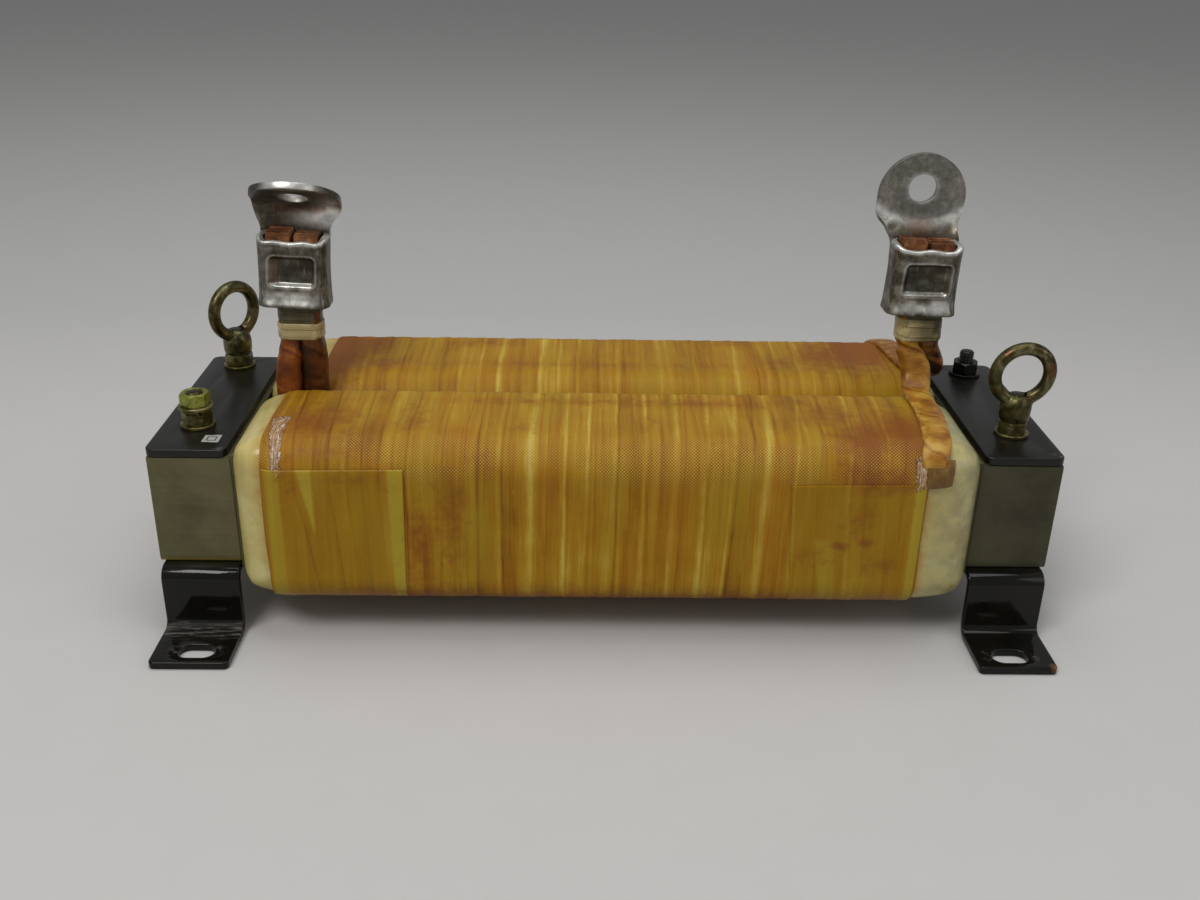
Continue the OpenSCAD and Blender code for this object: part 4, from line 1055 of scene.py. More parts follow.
def barrel(side):
    """Rolled sheet barrel: seam in front, window pressed in, flared foot."""
    pts, normals = barrel_outline()
    z = np.linspace(0, BARREL_H, 92)
    px, pz = pts[None, :, 0], z[:, None]
    ahead = np.clip(-normals[None, :, 1], 0, 1) ** 2
    # window: a rounded recess with sloping sides and a flat floor
    wx, wz = 0.2, 18.4
    half_p, half_q, corner_r = (11.5, 8.3, 3.0) if side > 0 else (11.2, 7.9, 3.0)
    skewed = px - wx - 0.04 * (pz - wz)
    to_left, to_right, to_low, to_high = (2.2, 3.2, 1.7, 1.6) if side > 0 else (5.0, 1.8, 1.8, 2.0)
    dp, dq = np.abs(skewed) - (half_p - corner_r), np.abs(pz - wz) - (half_q - corner_r)
    gap = (np.hypot(np.maximum(dp, 0), np.maximum(dq, 0)) + np.minimum(np.maximum(dp, dq), 0)
           - corner_r + 10 * (ahead < 0.5))
    depth = 1.0
    for away, width in ((skewed + half_p, to_left), (half_p - skewed, to_right),
                        (pz - wz + half_q, to_low), (wz + half_q - pz, to_high)):
        f = np.clip(away / width, 0, 1)
        depth = depth * f * f * (3 - 2 * f)
    depth = depth * step(-gap, 0.2, 0.2)
    left_slope = bell(skewed + half_p, to_left / 2, to_left / 2.6) * (gap < -0.4)
    below = step(wz - pz, 1.5, 0.8)
    above = step(pz - wz, 3.0, 0.8)
    seam = bell(px + 0.3 * np.sin(pz * 0.4), wx + 0.8 * side, 0.4) * (1 - depth) * ahead
    seam = seam * (step(wz - pz, 9, 1) if side > 0 else 0.35)
    mottle = field(pz + 0 * px, px + 40 * normals[None, :, 1], 3.4, 4.2, 86 + side)
    outer = 0.55 * np.exp(-((pz / 3.4) ** 2)) - 0.35 * np.sin(np.pi * pz / BARREL_H) ** 2
    outer = outer + ahead * (0.85 * np.exp(-((pz / 2.2) ** 2)) - 0.5 * bell(pz, 5.4, 2.4))
    outer = outer + 0.16 * field(pz + 0 * px, px + 40 * normals[None, :, 1], 7, 5, 80 + side)
    pressed = depth * (2.3 + 0.12 * field(pz + 0 * px, px + 0 * pz, 3.0, 3.5, 84 + side))
    outer = outer - ahead * pressed - 0.22 * seam
    outer = outer + 0.3 * ahead * bell(gap, 0.9, 0.8)
    rim = 0.35 * np.sin(px * 0.42 + 1.2 * side) * (1 + 0 * pz)
    height = pz + rim * (pz / BARREL_H) ** 6 - 2.0 * ahead * (pz / BARREL_H) ** 5
    shell = np.stack([px + normals[None, :, 0] * outer,
                      pts[None, :, 1] + normals[None, :, 1] * outer, height + 0 * px], -1)
    slope = bell(pz - wz + half_q, 0.9, 0.8) * (gap < 0)
    high_slope = bell(wz + half_q - pz, 0.9, 0.7) * (gap < 0)
    # Painted highlights on the window's lower slope and rim, the lower front, the top edge and the
    # rolled rim; painted shade on the window's floor, its upper and left slopes, the foot and the
    # inside. The seam is darkened as a joint, and mottle lightens and darkens at random.
    painted_highlight = ahead * ((1.1 if side < 0 else 0.75) * slope * below + 0.35 * bell(gap, 0.7, 0.6)
                     + 0.9 * bell(pz, 5.0, 3.0) * bell(px, 2 * side, 13) * (0.75 + 0.5 * mottle))
    painted_highlight = painted_highlight + 0.8 * np.exp(-((BARREL_H - pz) / 1.3) ** 2) + 0.15 * mottle + 0 * px
    shade_and_seam = ahead * (0.75 * step(depth, 0.9, 0.04) + 0.6 * high_slope * above + 0.3 * seam
                   + 0.6 * left_slope)
    shade_and_seam = shade_and_seam + 0.45 * ahead * bell(pz, 0.0, 0.9) + 0.25 * np.clip(-mottle, 0, 1)
    rolls, n_rim, n_inside = [], 7, 20
    for k in range(1, n_rim):
        a = math.pi * k / n_rim
        off = outer[-1] - LUG_T / 2 * (1 - math.cos(a))
        rolls.append(np.stack([pts[:, 0] + normals[:, 0] * off, pts[:, 1] + normals[:, 1] * off,
                               height[-1] + 0.75 * math.sin(a)], -1)[None])
    inner_z = np.linspace(BARREL_H, 0.3, n_inside)[:, None]
    inside = np.stack([0 * inner_z + pts[:, 0] - normals[:, 0] * LUG_T,
                       0 * inner_z + pts[:, 1] - normals[:, 1] * LUG_T,
                       inner_z - 2.0 * ahead * (inner_z / BARREL_H) ** 5], -1)
    grid = np.concatenate([shell] + rolls + [inside], 0)

    def over_all(values, on_rim, within):
        """Values on the outside, then one for the rolled rim and one for the inside."""
        return np.concatenate([values, np.full((n_rim - 1, len(pts)), on_rim),
                               np.full((n_inside, len(pts)), within)], 0)

    attrs = {"painted_highlight": over_all(np.clip(painted_highlight, 0, 1), 0.75, 0.0),
             "shade_and_seam": over_all(np.clip(shade_and_seam, 0, 1), 0.0, 0.8),
             "warm": over_all(ahead * left_slope * (1.0 if side < 0 else 0.4), 0.0, 0.0)}
    return surface("barrel", grid, TINNED, loop_u=True, loop_v=True, attrs=attrs)


# Bends of the palms from the barrel up: length in mm, turn in degrees towards the front
RUNS = {1: [[5, -26], [4, -8], [7, 34], [27.4, 0]], -1: [[4.2, -6], [4.4, 8], [12, 60], [22, 0]]}
SHIFT = {1: -2.4, -1: 0.8}


def bend_path(runs, step_mm=0.25):
    """Points and headings along a bent sheet: (length, y, z, turn)."""
    rows, y, z, a, done = [(0.0, 0.0, 0.0, 0.0)], 0.0, 0.0, 0.0, 0.0
    for length, turn in runs:
        n = max(1, round(length / step_mm))
        for _ in range(n):
            mid = a + math.radians(turn) / n / 2
            y, z = y - length / n * math.sin(mid), z + length / n * math.cos(mid)
            a += math.radians(turn) / n
            done += length / n
            rows.append((done, y, z, a))
    return np.array(rows)


def palm(side):
    """Palm of a lug: flat blank with a hole, cut fine and bent on its path."""
    path = bend_path(RUNS[side])
    length, tip_r, hole_r, hole_down = path[-1, 0], 22.0, 7.15, 17.5
    if side > 0:
        right_edge = [(19.6, -2), (19.6, 0), (18.9, 4), (18.9, 7.5), (20.2, 11), (21.8, 14.5)]
        left_edge = [(-22, 13.5), (-20.6, 9.8), (-18.0, 6.4), (-16.8, 3.2), (-14.9, 0),
                     (-14.9, -2)]
    else:
        right_edge = [(16.4, -2), (16.4, 0), (16.6, 3.5), (18.2, 6.5), (20.8, 9.5), (22, 12.5)]
        left_edge = [(-22, 13.0), (-21.2, 9), (-20.0, 6), (-18.2, 3), (-17.6, 0), (-17.6, -2)]

    def eased(points):
        """The edge's points with the corners between them smoothed."""
        points = np.array(points, float)
        at = np.linspace(0, len(points) - 1, 26)
        smooth = np.stack([np.interp(at, np.arange(len(points)), points[:, k]) for k in (0, 1)], 1)
        padded = np.pad(smooth, ((2, 2), (0, 0)), mode="edge")
        return [tuple(padded[k:k + 5].mean(0)) for k in range(len(smooth))]

    outline = eased(right_edge) + [(tip_r, length - tip_r)]
    outline += circle(0, length - tip_r, tip_r, 60, 0, 180.0)[1:]
    outline += eased(left_edge)
    blank = prism("palm", outline, -LUG_T / 2, LUG_T / 2, "y", TINNED)
    cut(blank, [prism("hole", circle(0, length - hole_down, hole_r, 56), -9, 9, "y")])
    bevelled(blank, 0.55, 3)
    bm = bmesh.new()
    bm.from_mesh(blank.data)
    slices = [((0, 0, q * MM), (0, 0, 1)) for q in np.arange(0.0, length - 1.0, 0.8)]
    slices += [((p * MM, 0, 0), (1, 0, 0)) for p in np.arange(-21.0, 21.1, 3.0)]
    for place, normal in slices:
        bmesh.ops.bisect_plane(bm, geom=bm.verts[:] + bm.edges[:] + bm.faces[:],
                               plane_co=place, plane_no=normal, dist=1e-6)
    painted_highlight, shade_and_seam, warm = [], [], []
    for v in bm.verts:
        x, t, q = (c / MM for c in v.co)
        at = np.clip(q, 0, length)
        y, z, a = (np.interp(at, path[:, 0], path[:, i]) for i in (1, 2, 3))
        over = q - at
        y, z = y - over * math.sin(a), z + over * math.cos(a)
        warp = 0.25 * math.sin(x * 0.11 + side) * min(1, max(0, q / 20))
        beyond = min(5.6, max(0.0, abs(x + SHIFT[side]) - 11.3))
        warp -= (6 - math.sqrt(36 - beyond ** 2)) * max(0.0, 1 - max(0.0, q) / 13) ** 1.5
        v.co = Vector((x, y + (t + warp) * math.cos(a), z + (t + warp) * math.sin(a))) * MM
        edge = abs(x) / 20
        rim = max(0.0, 1 - abs(math.hypot(x, q - (length - hole_down)) - 7.6) / 0.9)
        # Painted highlights on the shoulders, round the hole, along the top and faintly on the flat;
        # painted shade just past the crease, faintly on the flat, and low in the middle of the left
        # palm.
        if side > 0:
            crease = 14.5 - 6.5 * (1 - edge ** 2)
            flat = step(q, crease + 2.0, 1.1)
            shoulder = bell(q, crease, 3.2) * min(1.0, 0.25 + edge ** 2)
            painted_highlight.append(min(1.0, 0.95 * shoulder + 0.35 * rim + 0.16 * flat))
            shade_and_seam.append(0.12 * flat + 0.3 * bell(q, crease + 2.6, 1.4))
            warm.append(bell(x, 0, 7) * bell(q, 6, 5))
        else:
            lower = bell(q, 7, 5) * max(0.0, min(1.0, (x + 8) / 18))
            top = step(q, length - 3.5, 0.8)
            right = bell(x, 15, 5) * bell(q, 14, 8)
            painted_highlight.append(min(1.0, 0.9 * lower + 0.8 * right + 0.8 * top + 0.4 * rim))
            shade_and_seam.append(0.35 * bell(x, 0, 12) * bell(q, 12, 6))
            warm.append(0.4 * bell(x, -3, 10) * bell(q, 10, 8))
    bm.to_mesh(blank.data)
    bm.free()
    for key, values in (("painted_highlight", painted_highlight), ("shade_and_seam", shade_and_seam), ("warm", warm)):
        layer = blank.data.attributes.new(key, "FLOAT", "POINT")
        layer.data.foreach_set("value", values)
    blank.data.transform(Matrix.Translation(
        Vector((SHIFT[side], BARREL_D / 2 - LUG_T / 2, BARREL_H)) * MM))
    shade(blank, 40)
    return blank


def lug(side, name, node):
    """Barrel and palm as one piece, set on its leads."""
    ob = joined(name, [barrel(side), palm(side)])
    ob.data.transform(lug_frame(side))
    return finish_piece(ob, [node])


lug(-1, "terminal_lug_left", "lug_left")
lug(1, "terminal_lug_right", "lug_right")


def strands(side, name, node):
    """Two stacks of flat copper strips with uneven ends above the barrel."""
    chance = np.random.default_rng(90 + side)
    parts = []
    for block in (-1, 1):
        for j in range(6):
            y = (j - 2.5) * 1.98
            x = block * 6.8 + chance.uniform(-0.25, 0.25)
            top = BARREL_H + 1.7 + chance.uniform(-1.0, 1.1)
            outline = rounded(12.3 - 0.2 * abs(j - 2.5), 1.84, 0.4, x, y, 3)
            parts.append(bevelled(prism("strip", outline, -1.0, top, "z", COPPER), 0.28, 2))
    ob = joined(name, parts)
    ob.data.transform(lug_frame(side))
    shade(ob, 40)
    return finish_piece(ob, [node])


strands(-1, "wire_ends_left", "strands_left")
strands(1, "wire_ends_right", "strands_right")


# ------------------------------------------------------------ core, plates, feet

def yoke(side, name, node, material):
    """Stack of laminations, each a touch off its neighbours."""
    layers, edge_r = 112, 0.9
    pitch = (CORE_TOP - FOOT_H) / layers
    chance = np.random.default_rng(70 + side)
    rings = []
    for i in range(layers):
        off_x, off_y = chance.uniform(-0.005, 0.003, 2)
        near = min(i, layers - 1 - i) * pitch
        ease = edge_r - math.sqrt(max(0.0, edge_r ** 2 - max(0.0, edge_r - near) ** 2))
        outline = rounded(YOKE_W - 0.1 + 2 * (off_x - ease), CORE_D - 0.1 + 2 * (off_y - ease),
                          1.1, n=4)
        for z in (FOOT_H + (i + 0.04) * pitch, FOOT_H + (i + 0.96) * pitch):
            rings.append([(side * YOKE_X + p, q, z) for p, q in outline])
    grid = np.array(rings)
    strip = (grid[..., 2] < FOOT_H + 1.6) * (0.85 if side < 0 else 0.0)
    ob = surface(name, grid, material, loop_v=True, cap=True, attrs={"strip": strip})
    shade(ob, 30)
    return finish_piece(ob, [node])


yoke(-1, "core_end_left", "yoke_left", STEEL_LIT)
yoke(1, "core_end_right", "yoke_right", STEEL_SHADED)


def top_plate(side, name, node):
    """Flat plate with round corners, bored for its two studs."""
    ob = prism(name, rounded(PLATE_W, CORE_D + 0.4, 4.0, side * PLATE_X, 0, 12), CORE_TOP,
               PLATE_TOP, "z", BLACK_PLATE)
    cut(ob, [prism("c", circle(side * STUD_X, y, STUD_HOLE_R, 40), CORE_TOP - 5, PLATE_TOP + 5)
             for y in (STUD_FRONT, STUD_REAR)])
    bevelled(ob, 0.9, 4)
    return finish_piece(ob, [node])


top_plate(-1, "clamp_plate_left", "top_plate_left")
top_plate(1, "clamp_plate_right", "top_plate_right")


def foot(side, row, name, node):
    """Folded strip: flange below the core, upright, toe with a slot."""
    r_top, r_toe, t = 7.0, 4.0, FOOT_T
    outer = [(LAP_Y, FOOT_H)]
    outer += circle(WEB_Y - r_top, FOOT_H - r_top, r_top, 14, 90, -90.0)
    outer += circle(WEB_Y + r_toe, t + r_toe, r_toe, 12, 180, 90.0)
    outer += [(TOE_Y, t), (TOE_Y, 0)]
    outer += circle(WEB_Y + r_toe, t + r_toe, r_toe + t, 14, 270, -90.0)
    outer += circle(WEB_Y - r_top, FOOT_H - r_top, r_top - t, 12, 0, 90.0)
    outer += [(LAP_Y, FOOT_H - t)]
    outline = [(row * y, z) for y, z in outer]
    x0 = side * FOOT_X
    ob = prism(name, outline, x0 - FOOT_W / 2, x0 + FOOT_W / 2, "x", BLACK)
    slot = circle(side * SLOT_X + SLOT_HALF, row * SLOT_Y, SLOT_R, 24, -90, 180.0)
    slot += circle(side * SLOT_X - SLOT_HALF, row * SLOT_Y, SLOT_R, 24, 90, 180.0)
    stud_y = STUD_FRONT if row < 0 else STUD_REAR
    corners = []
    for sx in (-1, 1):
        cx, cy, r = x0 + sx * FOOT_W / 2, row * TOE_Y, 2.5
        arc = [(cx - sx * r + sx * r * math.cos(a), cy - row * r + row * r * math.sin(a))
               for a in np.linspace(0, math.pi / 2, 9)]
        corners.append(prism("c", [(cx + sx, cy + row), (cx + sx, cy - row * r)] + arc
                             + [(cx - sx * r, cy + row)], -2, t + 2))
    stud_hole = circle(side * STUD_X, stud_y, STUD_HOLE_R, 40)
    cut(ob, corners + [prism("c", slot, -2, t + 2),
                       prism("c", stud_hole, FOOT_H - t - 2, FOOT_H + 2)])
    bevelled(ob, 0.6, 3)
    return finish_piece(ob, [node])


for row, place in ((-1, "front"), (1, "rear")):
    for side, hand in ((-1, "left"), (1, "right")):
        foot(side, row, "mounting_foot_" + place + "_" + hand, "foot_" + place + "_" + hand)


# ------------------------------------------------------------ fasteners

def threaded(x, y, z0, z1, material):
    """Length of screw thread with a chamfered end at the top and bottom."""
    d, pitch, sides = STUD_D, 1.25, 36
    rows = max(8, int((z1 - z0) / pitch * 7))
    z = np.linspace(z0, z1, rows)[:, None]
    a = np.linspace(0, 2 * math.pi, sides, endpoint=False)[None, :]
    wave = np.abs(((z / pitch + a / (2 * math.pi)) % 1) * 2 - 1)
    r = d / 2 - 0.62 * np.clip(wave * 1.15 - 0.1, 0, 1)
    r = np.minimum(r, d / 2 - 0.8 + np.minimum(z - z0, z1 - z))
    grid = np.stack([x + r * np.cos(a), y + r * np.sin(a), z + 0 * a], -1)
    return surface("thread", grid, material, loop_v=True, cap=True)


def nut(x, y, z, turn, material=CHROMATE):
    """Hexagon nut with the corners turned to a cone, and a countersunk bore."""
    sides, h, flat_r = 96, NUT_H, NUT_AF / 2
    a = np.linspace(0, 2 * math.pi, sides, endpoint=False)
    hexagon = flat_r / np.cos(np.radians(np.degrees(a) % 60 - 30))
    bore = STUD_D / 2 + 0.1
    chamfer = 0.6 * (flat_r / math.cos(math.radians(30)) - flat_r)
    heights = np.concatenate([np.linspace(0, chamfer, 5), np.linspace(1.0, h - 1.0, 5),
                              np.linspace(h - chamfer, h, 5)])
    rows = [(np.full(sides, bore + 0.6), 0.0)]
    for k in heights:
        rows.append((np.minimum(hexagon - 0.03, flat_r - 0.13 + min(k, h - k) / 0.6), k))
    rows += [(np.full(sides, r), k) for r, k in (
        (flat_r - 0.6, h), (bore + 0.7, h), (bore, h - 0.6), (bore, 0.6))]
    ang = a + math.radians(turn)
    grid = np.stack([np.stack([x + r * np.cos(ang), y + r * np.sin(ang), z + k + 0 * a], -1)
                     for r, k in rows], 0)
    ob = surface("nut", grid, material, loop_u=True, loop_v=True)
    shade(ob, 28)
    return ob


def washer(x, y, z, material=CHROMATE):
    """Flat washer with its outer edges rubbed round."""
    r0, r1, e, t = STUD_D / 2 + 0.2, WASHER_D / 2, 0.25, WASHER_T
    profile = [(r0, z + 0.1), (r0, z + t - 0.1), (r0 + 0.1, z + t), (r1 - e, z + t),
               (r1 - 0.08, z + t - 0.08), (r1, z + t - e), (r1, z + e), (r1 - 0.08, z + 0.08),
               (r1 - e, z), (r0 + 0.1, z)]
    ob = turned("washer", profile, x, y, material)
    shade(ob, 50)
    return ob


def spring_washer(x, y, z):
    """Ring of flat wire with its gap towards the front."""
    r0, r1, t = STUD_D / 2 + 0.2, 7.3, SPRING_T
    rows = [[(x + r * math.cos(a), y + r * math.sin(a), z + k)
             for r, k in ((r0, 0), (r1, 0), (r1, t), (r0, t))]
            for a in np.linspace(math.radians(-56), math.radians(296), 80)]
    ob = surface("spring", np.array(rows), CHROMATE, loop_v=True, cap=True)
    return bevelled(ob, 0.2, 2, 40)


def eye_nut(x, y, turn, name, node, lean=0.0):
    """Forged ring on a collar, run together, then bored for the stud."""
    a = np.linspace(0, 2 * math.pi, 96, endpoint=False)[:, None]
    b = np.linspace(0, 2 * math.pi, 40, endpoint=False)[None, :]
    r = EYE_R + EYE_WIRE / 2 * np.cos(b)
    ring = np.stack([r * np.cos(a), EYE_WIRE / 2 * np.sin(b) + 0 * a,
                     EYE_RISE + r * np.sin(a)], -1)
    parts = [surface("ring", ring, CHROMATE_EYE, loop_u=True, loop_v=True)]
    profile = [(0, 0), (6.9, 0), (7.3, 0.5), (7.3, 1.6), (7.6, 2.2), (7.7, 7.6), (7.4, 9.0),
               (6.8, 10.6), (5.8, 12.4), (4.4, 13.6), (0, 13.8)]
    base = turned("base", profile, 0, 0, CHROMATE_EYE, 72, closed=False)
    up = np.linspace(0, 1, 30)[:, None]
    web = np.stack([(7.0 + 4.0 * up ** 1.8) * np.cos(b), (6.2 - 2.6 * up) * np.sin(b),
                    5.6 + 7.2 * up + 0 * b], -1)
    parts += [base, surface("web", web, CHROMATE_EYE, loop_v=True, cap=True)]
    ob = joined(name, parts)
    remesh = ob.modifiers.new("blend", "REMESH")
    remesh.mode, remesh.voxel_size = "VOXEL", 0.42 * MM
    settle(ob)
    smooth = ob.modifiers.new("soft", "SMOOTH")
    smooth.factor, smooth.iterations = 0.6, 20
    settle(ob)
    cut(ob, [prism("c", circle(0, 0, STUD_D / 2 + 0.1, 48), -3, EYE_RISE - 3)])
    for v in ob.data.vertices:
        v.co.x += math.radians(lean) * max(0.0, v.co.z - 4 * MM)
    ob.data.transform(Matrix.Translation(Vector((x, y, NUT_TOP)) * MM)
                      @ Matrix.Rotation(math.radians(turn), 4, "Z"))
    if not ob.data.materials:
        ob.data.materials.append(CHROMATE_EYE)
    shade(ob, 50)
    return finish_piece(ob, [node])


LF, LR = (-STUD_X, STUD_FRONT), (-STUD_X, STUD_REAR)
RF, RR = (STUD_X, STUD_FRONT), (STUD_X, STUD_REAR)
BOTTOM_WASHER = FOOT_H - FOOT_T - WASHER_T
BOTTOM_NUT = BOTTOM_WASHER - NUT_H
STUD_TOPS = {LF: TERMINAL_NUT + NUT_H + 0.4, LR: 118.1, RF: 118.1, RR: NUT_TOP + 6}

rods = []
for at in (LF, LR, RF, RR):
    rods.append(threaded(*at, BOTTOM_NUT - 3, FOOT_H - FOOT_T, CHROMATE))
    low, high = FOOT_H - FOOT_T, PLATE_TOP - 1
    shank = [(0, low), (3.6, low), (3.6, high), (0, high)]
    rods.append(turned("shank", shank, *at, CHROMATE, 36, closed=False))
    rods.append(threaded(*at, PLATE_TOP - 1, STUD_TOPS[at],
                         BLACK_PLATE if at == RR else CHROMATE_DARK))

FASTENERS = [
    ("threaded_studs", "clamp_studs", "chromate", rods),
    ("washers_top", "top_washers", "chromate", [washer(*at, PLATE_TOP) for at in (LF, LR, RF)]),
    ("washer_black", "painted_washer", "black_paint", [washer(*RR, PLATE_TOP, BLACK)]),
    ("nuts_top", "top_nuts", "chromate",
     [nut(*at, WASHER_TOP, turn) for at, turn in ((LF, 6), (LR, 22), (RF, 4))]),
    ("nut_black", "painted_nut", "black_paint", [nut(*RR, WASHER_TOP, 12, BLACK)]),
    ("earth_spring_washer", "terminal_spring_washer", "chromate", [spring_washer(*LF, NUT_TOP)]),
    ("earth_washer", "terminal_washer", "chromate", [washer(*LF, TERMINAL_WASHER)]),
    ("earth_nut", "terminal_nut", "chromate", [nut(*LF, TERMINAL_NUT, 24, CHROMATE_BRIGHT)]),
    ("washers_bottom", "bottom_washers", "chromate",
     [washer(*at, BOTTOM_WASHER) for at in (LF, LR, RF, RR)]),
    ("nuts_bottom", "bottom_nuts", "chromate",
     [nut(*at, BOTTOM_NUT, 11 * i) for i, at in enumerate((LF, LR, RF, RR))]),
]
for name, node, slot, parts in FASTENERS:
    finish_piece(joined(name, parts), [node])
eye_nut(*LR, 55, "lifting_eye_left", "eye_nut_left")
eye_nut(*RF, 0, "lifting_eye_right", "eye_nut_right", 2.2)


# ------------------------------------------------------------ sticker, patches

def sticker():
    """Small square marker on the left plate, two of its corners lifting a little."""
    half, t, x0, y0 = 4.1, 0.2, -192.7, -50.5
    grid_p = np.linspace(-half, half, 15)
    p, q = np.meshgrid(grid_p, grid_p, indexing="ij")
    curl = 0.12 * (np.maximum(np.abs(p), np.abs(q)) / half) ** 8 * (p * q > 0)
    grid = np.stack([x0 + p, y0 + q, PLATE_TOP + t + curl], -1)
    ob = surface("square_sticker", grid, STICKER, uv=(grid_p, grid_p), facing=(0, 0, 1))
    return finish_piece(thickened(ob, t), ["marker_sticker"])


sticker()


def coil_sheet(name, corners, material, lift, columns, rows, ragged=0.0, seed=0,
               thick=0.15, marks=()):
    """Thin sheet laid on the coil between four corners given as (x, s).

    Marks are paler or greener strips: x above, x below, half width above and below,
    s from and to, tone, green."""
    u, v = np.meshgrid(np.linspace(0, 1, columns), np.linspace(0, 1, rows), indexing="ij")
    (xa, sa), (xb, sb), (xc, sc), (xd, sd) = corners
    x = (xa * (1 - u) + xb * u) * (1 - v) + (xd * (1 - u) + xc * u) * v
    s = (sa * (1 - u) + sb * u) * (1 - v) + (sd * (1 - u) + sc * u) * v
    if ragged:
        near = np.minimum(np.minimum(u, 1 - u), np.minimum(v, 1 - v))
        push = np.exp(-(near / 0.12) ** 2) * ragged
        x = x + push * (field(u, v, 0.06, 0.035, seed) + 0.6 * field(u, v, 0.02, 0.015, seed + 1))
        s = s + push * (field(u, v, 0.05, 0.05, seed + 2)
                        + 0.8 * field(u, v, 0.018, 0.05, seed + 3))
    rise, tone, stain, cloth = wrap_values(x, s, FRONT_EDGES, FRONT_STAINS, 11)
    lime = 0.3 * np.clip(field(x, s, 14, 26, seed + 7), 0, 1)
    for x_top, x_low, w_top, w_low, s0, s1, light, green in marks:
        f = np.clip((s - s0) / (s1 - s0), 0, 1)
        off = np.abs(x - x_top * (1 - f) - x_low * f)
        here = (step(s, s0, 0.4) * step(-s, -s1, 0.4)
                * step(-off, -(w_top * (1 - f) + w_low * f), 0.25))
        tone, lime = tone + light * here, np.maximum(lime, green * here)
    lifted = -0.55 + 0.55 * rise + lift
    if ragged:
        lifted = lifted + 0.12 * field(u, v, 0.08, 0.05, seed + 4)
    ob = surface(name, coil_point(x, s, lifted), material,
                 uv=(np.linspace(0, abs(xb - xa), columns), np.linspace(0, abs(sd - sa), rows)),
                 attrs={"tone": tone, "stain": stain, "cloth": cloth * 0.2, "lime": lime},
                 facing=(0, -1, 0))
    return finish_piece(thickened(ob, thick), [])


coil_sheet("film_left", [(-162.8, FACE - 4), (-96.4, FACE - 5), (-97.6, FACE + 68),
                         (-162.8, FACE + 68)], FILM, 0.5, 96, 72, thick=0.1,
           marks=((-100.2, -100.0, 3.8, 2.7, FACE - 6, FACE + 70, 0.12, 1.0),
                  (-143.0, -139.5, 3.6, 0.2, FACE - 6, FACE + 28, 0.3, 0.8),
                  (-157.8, -158.0, 3.4, 3.2, FACE - 6, FACE + 70, 0.04, 0.7)))
coil_sheet("film_right", [(86.0, FACE + 1), (150.0, FACE + 0), (149.8, FACE + 70),
                          (90.0, FACE + 70)], FILM, 0.5, 96, 72, thick=0.1, seed=3,
           marks=((147.4, 147.8, 2.4, 2.0, FACE, FACE + 70, 0.16, 0.9),
                  (104.0, 108.0, 5.0, 3.0, FACE + 30, FACE + 70, 0.05, 0.5)))
coil_sheet("frayed_cloth_left", [(-161.5, FACE - 42), (-153.6, FACE - 42), (-153.4, FACE - 1),
                                 (-156.8, FACE - 1)], GLASS, 0.32, 60, 110, 0.9, 5)
coil_sheet("frayed_cloth_right", [(143.8, FACE - 13), (149.0, FACE - 12), (150.2, FACE + 2),
                                  (145.2, FACE + 3)], GLASS, 0.5, 50, 60, 0.8, 9)
coil_sheet("brown_patch_right", [(149.2, FACE - 13), (162.6, FACE - 12), (161.4, FACE + 1),
                                 (149.6, FACE + 2)], PATCH, 1.0, 40, 40)

# ------------------------------------------------------------ CAD nodes that stay

STAYING = {
    "limb_front": STEEL_LIT, "limb_rear": STEEL_LIT,
    "former_front": BOARD_DARK, "former_rear": BOARD_DARK,
    "winding_front": COPPER, "winding_rear": COPPER, "stud_sleeves": BOARD,
}
for key, ob in NODES.items():
    material = STAYING.get(key, BOARD if key.startswith("gap_board") else None)
    if material:
        ob.data.materials.clear()
        ob.data.materials.append(material)


# ------------------------------------------------------------ stage, light, camera

def stage_material():
    """Plain pale floor, a shade darker behind the part."""
    p = Paint("floor_grey", Roughness=0.75, Specular_IOR_Level=0.2)
    at = p.place("Object")
    parts = p.split(at)
    far = p.grade(parts["Y"], 0.16, 0.44)
    grain = p.noise(at, 40, 3)
    colour = p.mix(far, rgb(190, 188, 186), rgb(180, 179, 177))
    p.set(Base_Color=p.mix(p.grade(grain, 0.3, 0.7, 0.0, 0.04), colour, rgb(150, 148, 144)))
    return p.mat


floor_mesh = bpy.data.meshes.new("floor")
reach = 9.0
floor_mesh.from_pydata([(x * reach, y * reach, 0) for x, y in ((-1, -1), (1, -1), (1, 1), (-1, 1))],
                       [], [(0, 1, 2, 3)])
floor = new_object("floor", floor_mesh, stage_material())
floor.location.z = -0.0002

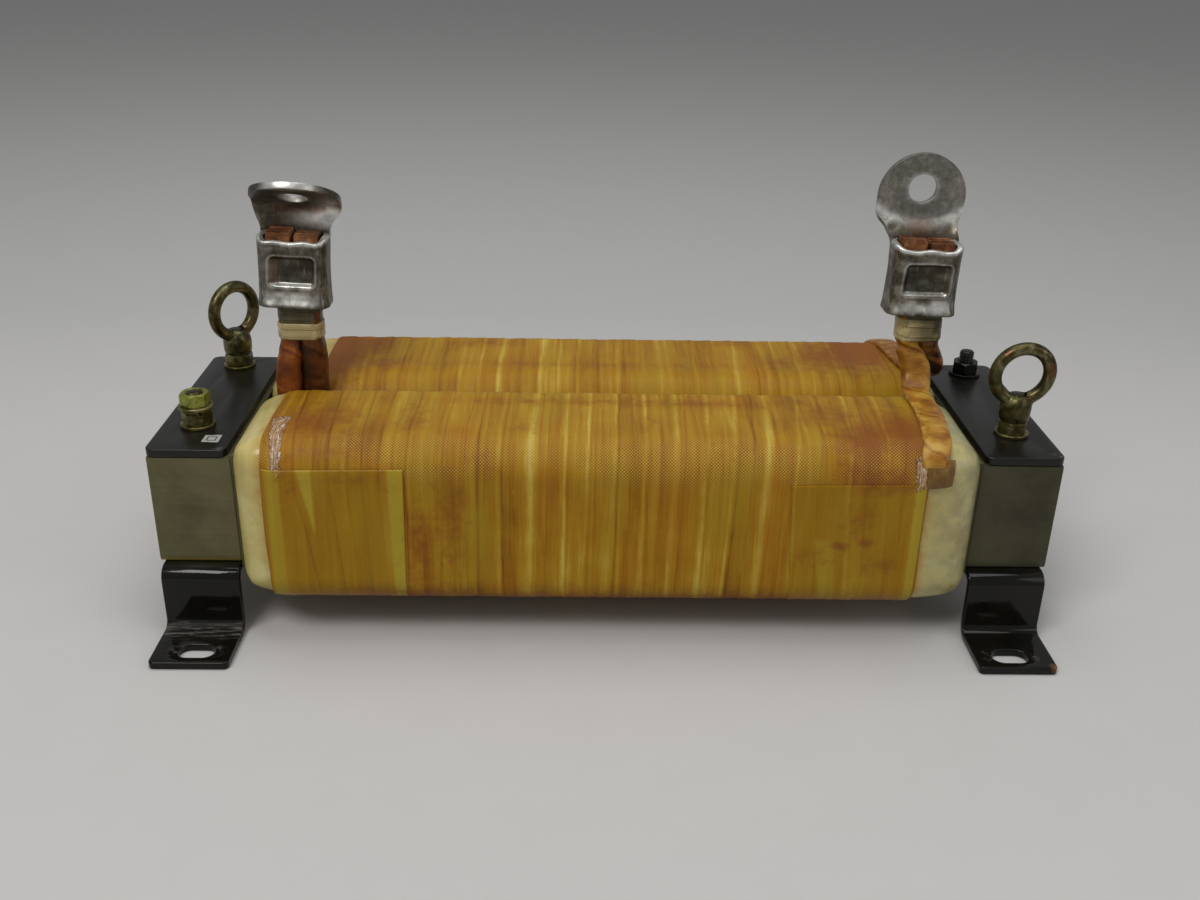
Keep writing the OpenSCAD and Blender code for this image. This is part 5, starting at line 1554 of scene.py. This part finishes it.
world = bpy.data.worlds.new("studio")
bpy.context.scene.world = world
world.use_nodes = True
sky = world.node_tree.nodes["Background"]
sky.inputs["Color"].default_value = (0.97, 0.985, 1.0, 1.0)
sky.inputs["Strength"].default_value = 0.29


def lamp(name, at, aim, size, power, colour=(1, 1, 1)):
    """Area light in metres and watts."""
    data = bpy.data.lights.new(name, "AREA")
    data.shape, data.size, data.size_y = "RECTANGLE", size[0], size[1]
    data.energy, data.color = power, colour
    ob = bpy.data.objects.new(name, data)
    bpy.context.scene.collection.objects.link(ob)
    ob.location = at
    ob.rotation_mode = "QUATERNION"
    ob.rotation_quaternion = (Vector(aim) - Vector(at)).to_track_quat("-Z", "Y")
    return ob


lamp("key", (-0.75, -1.05, 1.7), (0, 0, 0.08), (0.9, 0.65), 19, (1.0, 0.985, 0.96))
lamp("overhead", (0.1, 0.1, 1.65), (0, 0, 0.08), (1.5, 0.9), 11, (0.97, 0.985, 1.0))
lamp("fill", (1.3, -0.8, 0.9), (0, 0, 0.1), (0.9, 0.9), 3)

# Camera fitted to the photograph: angles, focal length and width in pixels, place in mm
PITCH, YAW, ROLL = math.radians(24.718), math.radians(1.4007), math.radians(1.1754)
FOCAL_PX, PHOTO_W, SENSOR_W = 1226.92, 1200, 36.0
CAMERA_AT = (-17.36, -596.99, 344.20)
forward = Vector((math.sin(YAW) * math.cos(PITCH), math.cos(YAW) * math.cos(PITCH),
                  -math.sin(PITCH)))
level = Vector((math.cos(YAW), -math.sin(YAW), 0))
lift_up = level.cross(forward)
right = level * math.cos(ROLL) + lift_up * math.sin(ROLL)
up = lift_up * math.cos(ROLL) - level * math.sin(ROLL)
camera_data = bpy.data.cameras.new("camera")
camera_data.sensor_width, camera_data.lens = SENSOR_W, FOCAL_PX / PHOTO_W * SENSOR_W
camera_data.clip_start = 0.01
camera = bpy.data.objects.new("camera", camera_data)
bpy.context.scene.collection.objects.link(camera)
turned_to = Matrix((right, up, -forward)).transposed().to_4x4()
camera.matrix_world = Matrix.Translation(Vector(CAMERA_AT) * MM) @ turned_to
bpy.context.scene.camera = camera
bpy.context.scene.view_settings.view_transform = "Standard"
